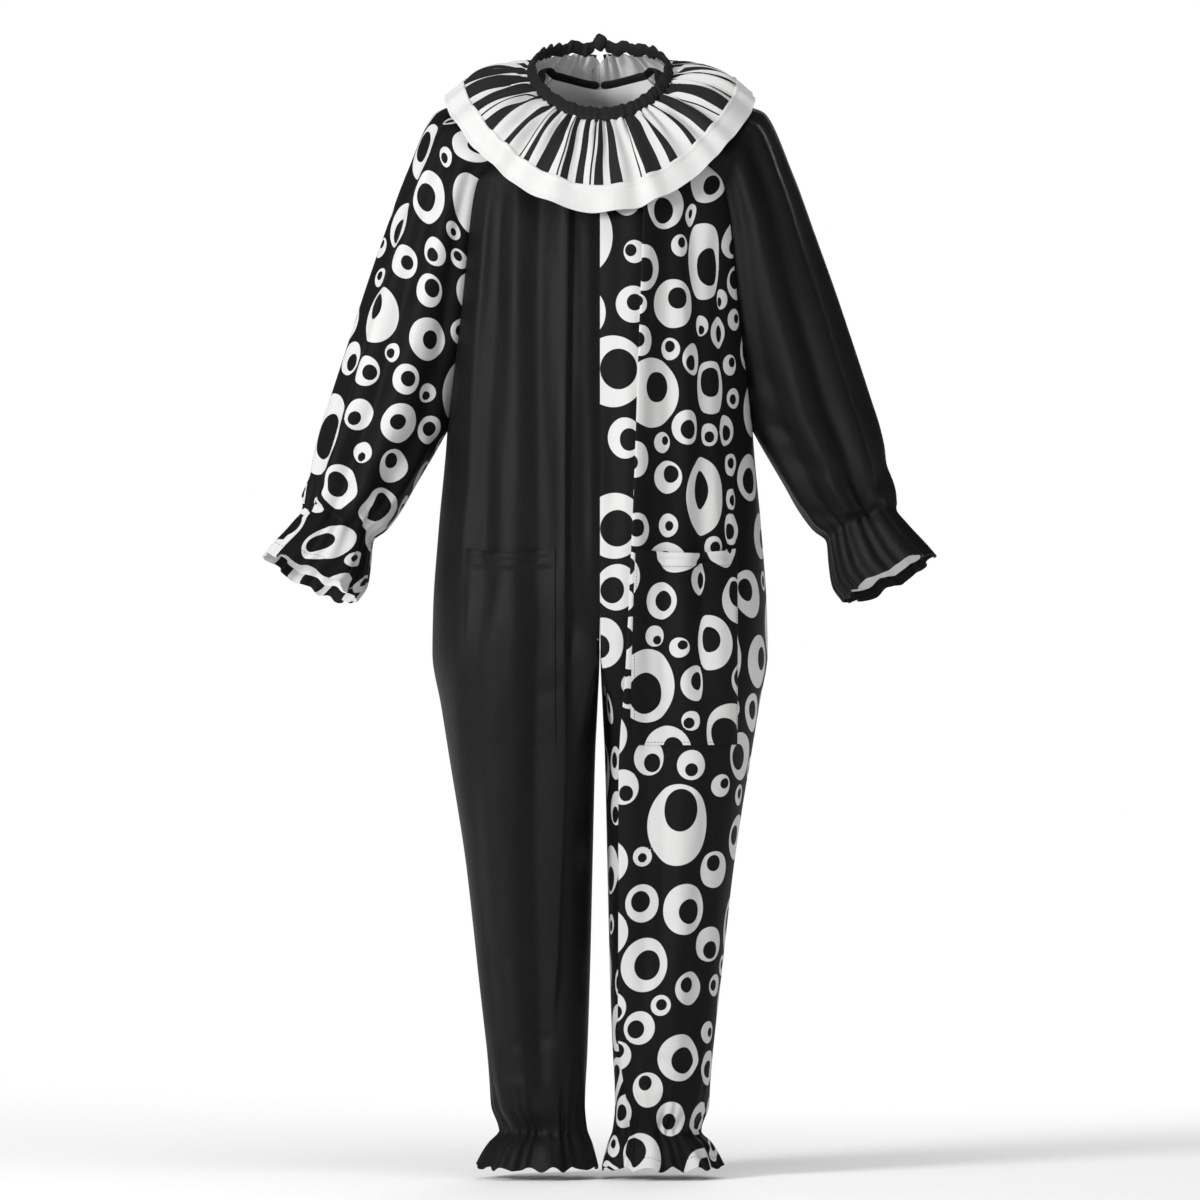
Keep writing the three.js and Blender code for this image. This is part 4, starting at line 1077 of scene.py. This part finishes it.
# ---- the ruff ----
edges, is_black = stripe_edges()
counts = np.maximum(2, np.round(np.diff(edges) / (2 * math.pi) * 940 / 2.1).astype(int))
within = [np.linspace(a, b, n, endpoint=False) for a, b, n in zip(edges, edges[1:], counts)]
ruff_columns = np.concatenate(within)
ruff_columns = np.append(ruff_columns, edges[-1]) / (2 * math.pi) + 0.5
stripe_of = np.repeat(np.where(is_black, 0, 1), counts)


def ruff_surface(shares, columns):
    """The ruff's grid: its slope from the neck outwards, with the gathers and waves standing off it."""
    half_gap = curve(RUFF_OPENING["along"], RUFF_OPENING["half_gap"], shares)
    end = (math.pi - half_gap / mix(NECK_EDGE["wide"], OUTER_EDGE["wide"], shares))[:, None]
    share = shares[:, None] + 0 * columns[None, :]
    angle = mix(-end, end, columns[None, :])
    ends = rise(end - np.abs(angle), 0, 0.1)
    pushed = (1 - share) ** 1.3 * (0.05 * uneven(angle, 62, 21, 0.5) + 0.016 * uneven(angle, 63, 47)) * ends
    swaying = 0.006 * np.sin(share * 7 + angle * 5) * np.sin(math.pi * np.minimum(share / BORDER_FROM, 1))
    pushed = pushed + swaying * ends
    angle = angle + pushed
    points = ruff_base(angle, share) + ruff_way(angle) * ruff_folds(angle, share)[..., None]
    flat = np.stack([angle * 150, share * 170], -1)
    return points, flat


shares = np.linspace(0, BORDER_FROM, 34)
points, flat = ruff_surface(shares, ruff_columns)
normals = grid_normals(points, (0, -1, 1))
made = cloth("ruff", points, normals, flat, [stripe_black, stripe_white], pale_inside, face_columns=stripe_of)
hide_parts("ruff")
surfaces["ruff"] = (points, normals)

shares = np.linspace(BORDER_FROM, 1, 18)
even_columns = np.linspace(0, 1, 481)
points, flat = ruff_surface(shares, even_columns)
normals = grid_normals(points, (0, -1, 1))
beyond = (shares - BORDER_FROM)[:, None] * 128
scallop = 0.8 * np.abs(np.sin(even_columns * 150))[None, :]
ridge = 1.5 * np.exp(-(((beyond - 2.2 - scallop) / 1.8) ** 2)) + 0.8 * np.exp(-(((beyond - 33) / 2.5) ** 2))
points = points + normals * (0.8 + ridge)[..., None]
made = cloth("ruff_border", points, normals, flat, [white_cloth], white_cloth, thickness=1.6)
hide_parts("ruff_border")
surfaces["ruff_border"] = (points, normals)
lines = [(points[3], normals[3]), (points[-3], normals[-3])]
stitches("ruff_border_stitches", lines, white_thread, 2.8, 4.6)

# ---- the ruff's binding, knot and ties ----
end = math.pi - 6.5 / NECK_EDGE["wide"]
angle = np.linspace(-end, end, 520)
foot, head = ruff_base(angle, np.zeros(520)), ring_point(NECK_EDGE_TOP, angle)
up = unit(head - foot)
tall = np.linalg.norm(head - foot, axis=-1) / 2
out = np.cross(up, unit(np.gradient(foot, axis=0)))
away = np.stack([np.sin(angle), -np.cos(angle), 0 * angle], -1)
out = out * np.sign(np.einsum("ij,ij->i", out, away))[:, None]
scalloped = mix(0.8, 2.8, rise(np.abs(angle), 1.5, 2.3)) * uneven(angle, 72, 24)
puckers = 1 + 0.24 * uneven(angle, 73, 52) + 0.16 * uneven(angle, 74, 27)
middle = (head + foot) / 2 + up * scalloped[:, None]
made = tape("ruff_binding", middle, up, out, tall + 0.6, 2.9, black_tape, puckers)
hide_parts("ruff_binding")


KNOT_GRID = 41, 73


def knot_surface():
    """A flattened, four-cornered bundle: a superellipsoid with creases where the tape passes over itself."""
    lat = np.linspace(-math.pi / 2, math.pi / 2, KNOT_GRID[0])[:, None]
    lon = np.linspace(0, 2 * math.pi, KNOT_GRID[1])[None, :]
    crease = 1 - 0.09 * np.exp(-(((lon - 2.4) / 0.16) ** 2)) - 0.09 * np.exp(-(((lon - 5.4) / 0.18) ** 2))
    crease = crease + 0.05 * np.sin(lon * 4 + lat * 5)
    across = power(np.cos(lat), 1.25) * power(np.cos(lon), 1.2) * 9.8 * crease
    tall = power(np.cos(lat), 1.25) * power(np.sin(lon), 1.2) * 11.5 * crease
    deep = power(np.sin(lat), 0.8) * 6.6 + 0 * lon
    middle = np.array([0, NECK_EDGE_TOP["back"] + 1, NECK_EDGE_TOP["back_z"] - 1])
    return np.stack([across, deep, tall], -1) + middle


points = knot_surface()
flat = np.stack([points[..., 0], points[..., 2]], -1).reshape(-1, 2)
faces = quads(np.arange(len(flat)).reshape(KNOT_GRID)).tolist()
made = new_object("tie_knot", points.reshape(-1, 3), faces, [black_tape], None, flat)
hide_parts("tie_knot")

for side in (RIGHT, LEFT):
    share = np.linspace(0.05, 0.36, 44)[:, None]
    across = np.linspace(-0.5, 0.5, 11)[None, :]
    angle = math.pi - 12 * (0.75 + across) / mix(NECK_EDGE["wide"], OUTER_EDGE["wide"], share) - 0.16 * share
    share = share + 0 * across
    lift = 6 + 1.3 * np.sin(share * 22 + side) + 0.9 * np.cos(across * 5)
    points = ruff_base(side * angle, share) + ruff_way(side * angle) * lift[..., None]
    normals = grid_normals(points, (0, 1, 1))
    flat = np.stack([across * 12 + 0 * share, share * 170], -1)
    name = f"tie_end_{side_name(side)}"
    made = cloth(name, points, normals, flat, [black_tape], black_tape, thickness=1.6)
    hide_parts(name)
    surfaces[name] = (points, normals)

# ---- hem stitches ----
for name in ("front_left", "back_left", "sleeve_right", "front_right", "back_right", "sleeve_left"):
    word = name.split("_")[0]
    points, normals = surfaces[name]
    row = -1 - round(HEM / (SLEEVE_LENGTH if word == "sleeve" else PANEL_LENGTH) * len(points))
    stitches(f"{name}_hem_stitches", [(points[row], normals[row])], black_thread)

# ---- studio ----
FLOOR_Z = -1.412
bpy.ops.mesh.primitive_circle_add(vertices=96, radius=30, fill_type="NGON", location=(0, 0, FLOOR_Z))
floor = bpy.context.object
floor.name = "floor"
plain = bpy.data.materials.new("floor")
plain.use_nodes = True
tree = plain.node_tree
tree.nodes.clear()
place = add(tree, "ShaderNodeTexCoord").outputs["Object"]
far = add(tree, "ShaderNodeVectorMath", {"operation": "LENGTH"}, {0: place}).outputs["Value"]
range_of = {"interpolation_type": "SMOOTHSTEP"}
fade = add(tree, "ShaderNodeMapRange", range_of, {0: far, 1: 0.9, 2: 2.6}).outputs[0]
near = add(tree, "ShaderNodeBsdfDiffuse", None, {"Color": (0.93, 0.93, 0.93, 1)})
away = add(tree, "ShaderNodeEmission", None, {"Color": (1, 1, 1, 1), "Strength": 1.0})
both = add(tree, "ShaderNodeMixShader", None, {0: fade, 1: near.outputs[0], 2: away.outputs[0]})
output = add(tree, "ShaderNodeOutputMaterial", None, {"Surface": both.outputs[0]})
floor.data.materials.append(plain)

world = bpy.data.worlds.new("studio")
bpy.context.scene.world = world
world.use_nodes = True
tree = world.node_tree
tree.nodes.clear()
ray = add(tree, "ShaderNodeLightPath")
strength = calc(tree, "MULTIPLY_ADD", ray.outputs["Is Camera Ray"], 0.58, 0.42)
strength = calc(tree, "MULTIPLY_ADD", ray.outputs["Is Glossy Ray"], -0.3, strength)
background = add(tree, "ShaderNodeBackground", None, {"Color": (1, 1, 1, 1), "Strength": strength})
add(tree, "ShaderNodeOutputWorld", None, {"Surface": background.outputs[0]})

for name, place, size, power in (
    ("key", (-3.2, -3.3, 0.5), 1.4, 200),
    ("fill", (3.4, -2.6, 0.2), 2.4, 12),
    ("top", (0.2, -1.3, 2.5), 1.6, 26),
    ("behind", (0.6, 3.6, 0.4), 2.2, 60),
):
    light = bpy.data.objects.new(name, bpy.data.lights.new(name, "AREA"))
    light.data.shape, light.data.size, light.data.energy = "DISK", size, power
    light.location = place
    aim = np.array([0, 0, -0.65]) - np.array(place)
    tilt, turn = math.acos(-aim[2] / np.linalg.norm(aim)), math.atan2(aim[0], -aim[1]) + math.pi
    light.rotation_euler = (tilt, 0, turn)
    bpy.context.scene.collection.objects.link(light)
bpy.context.scene.view_settings.view_transform = "Standard"
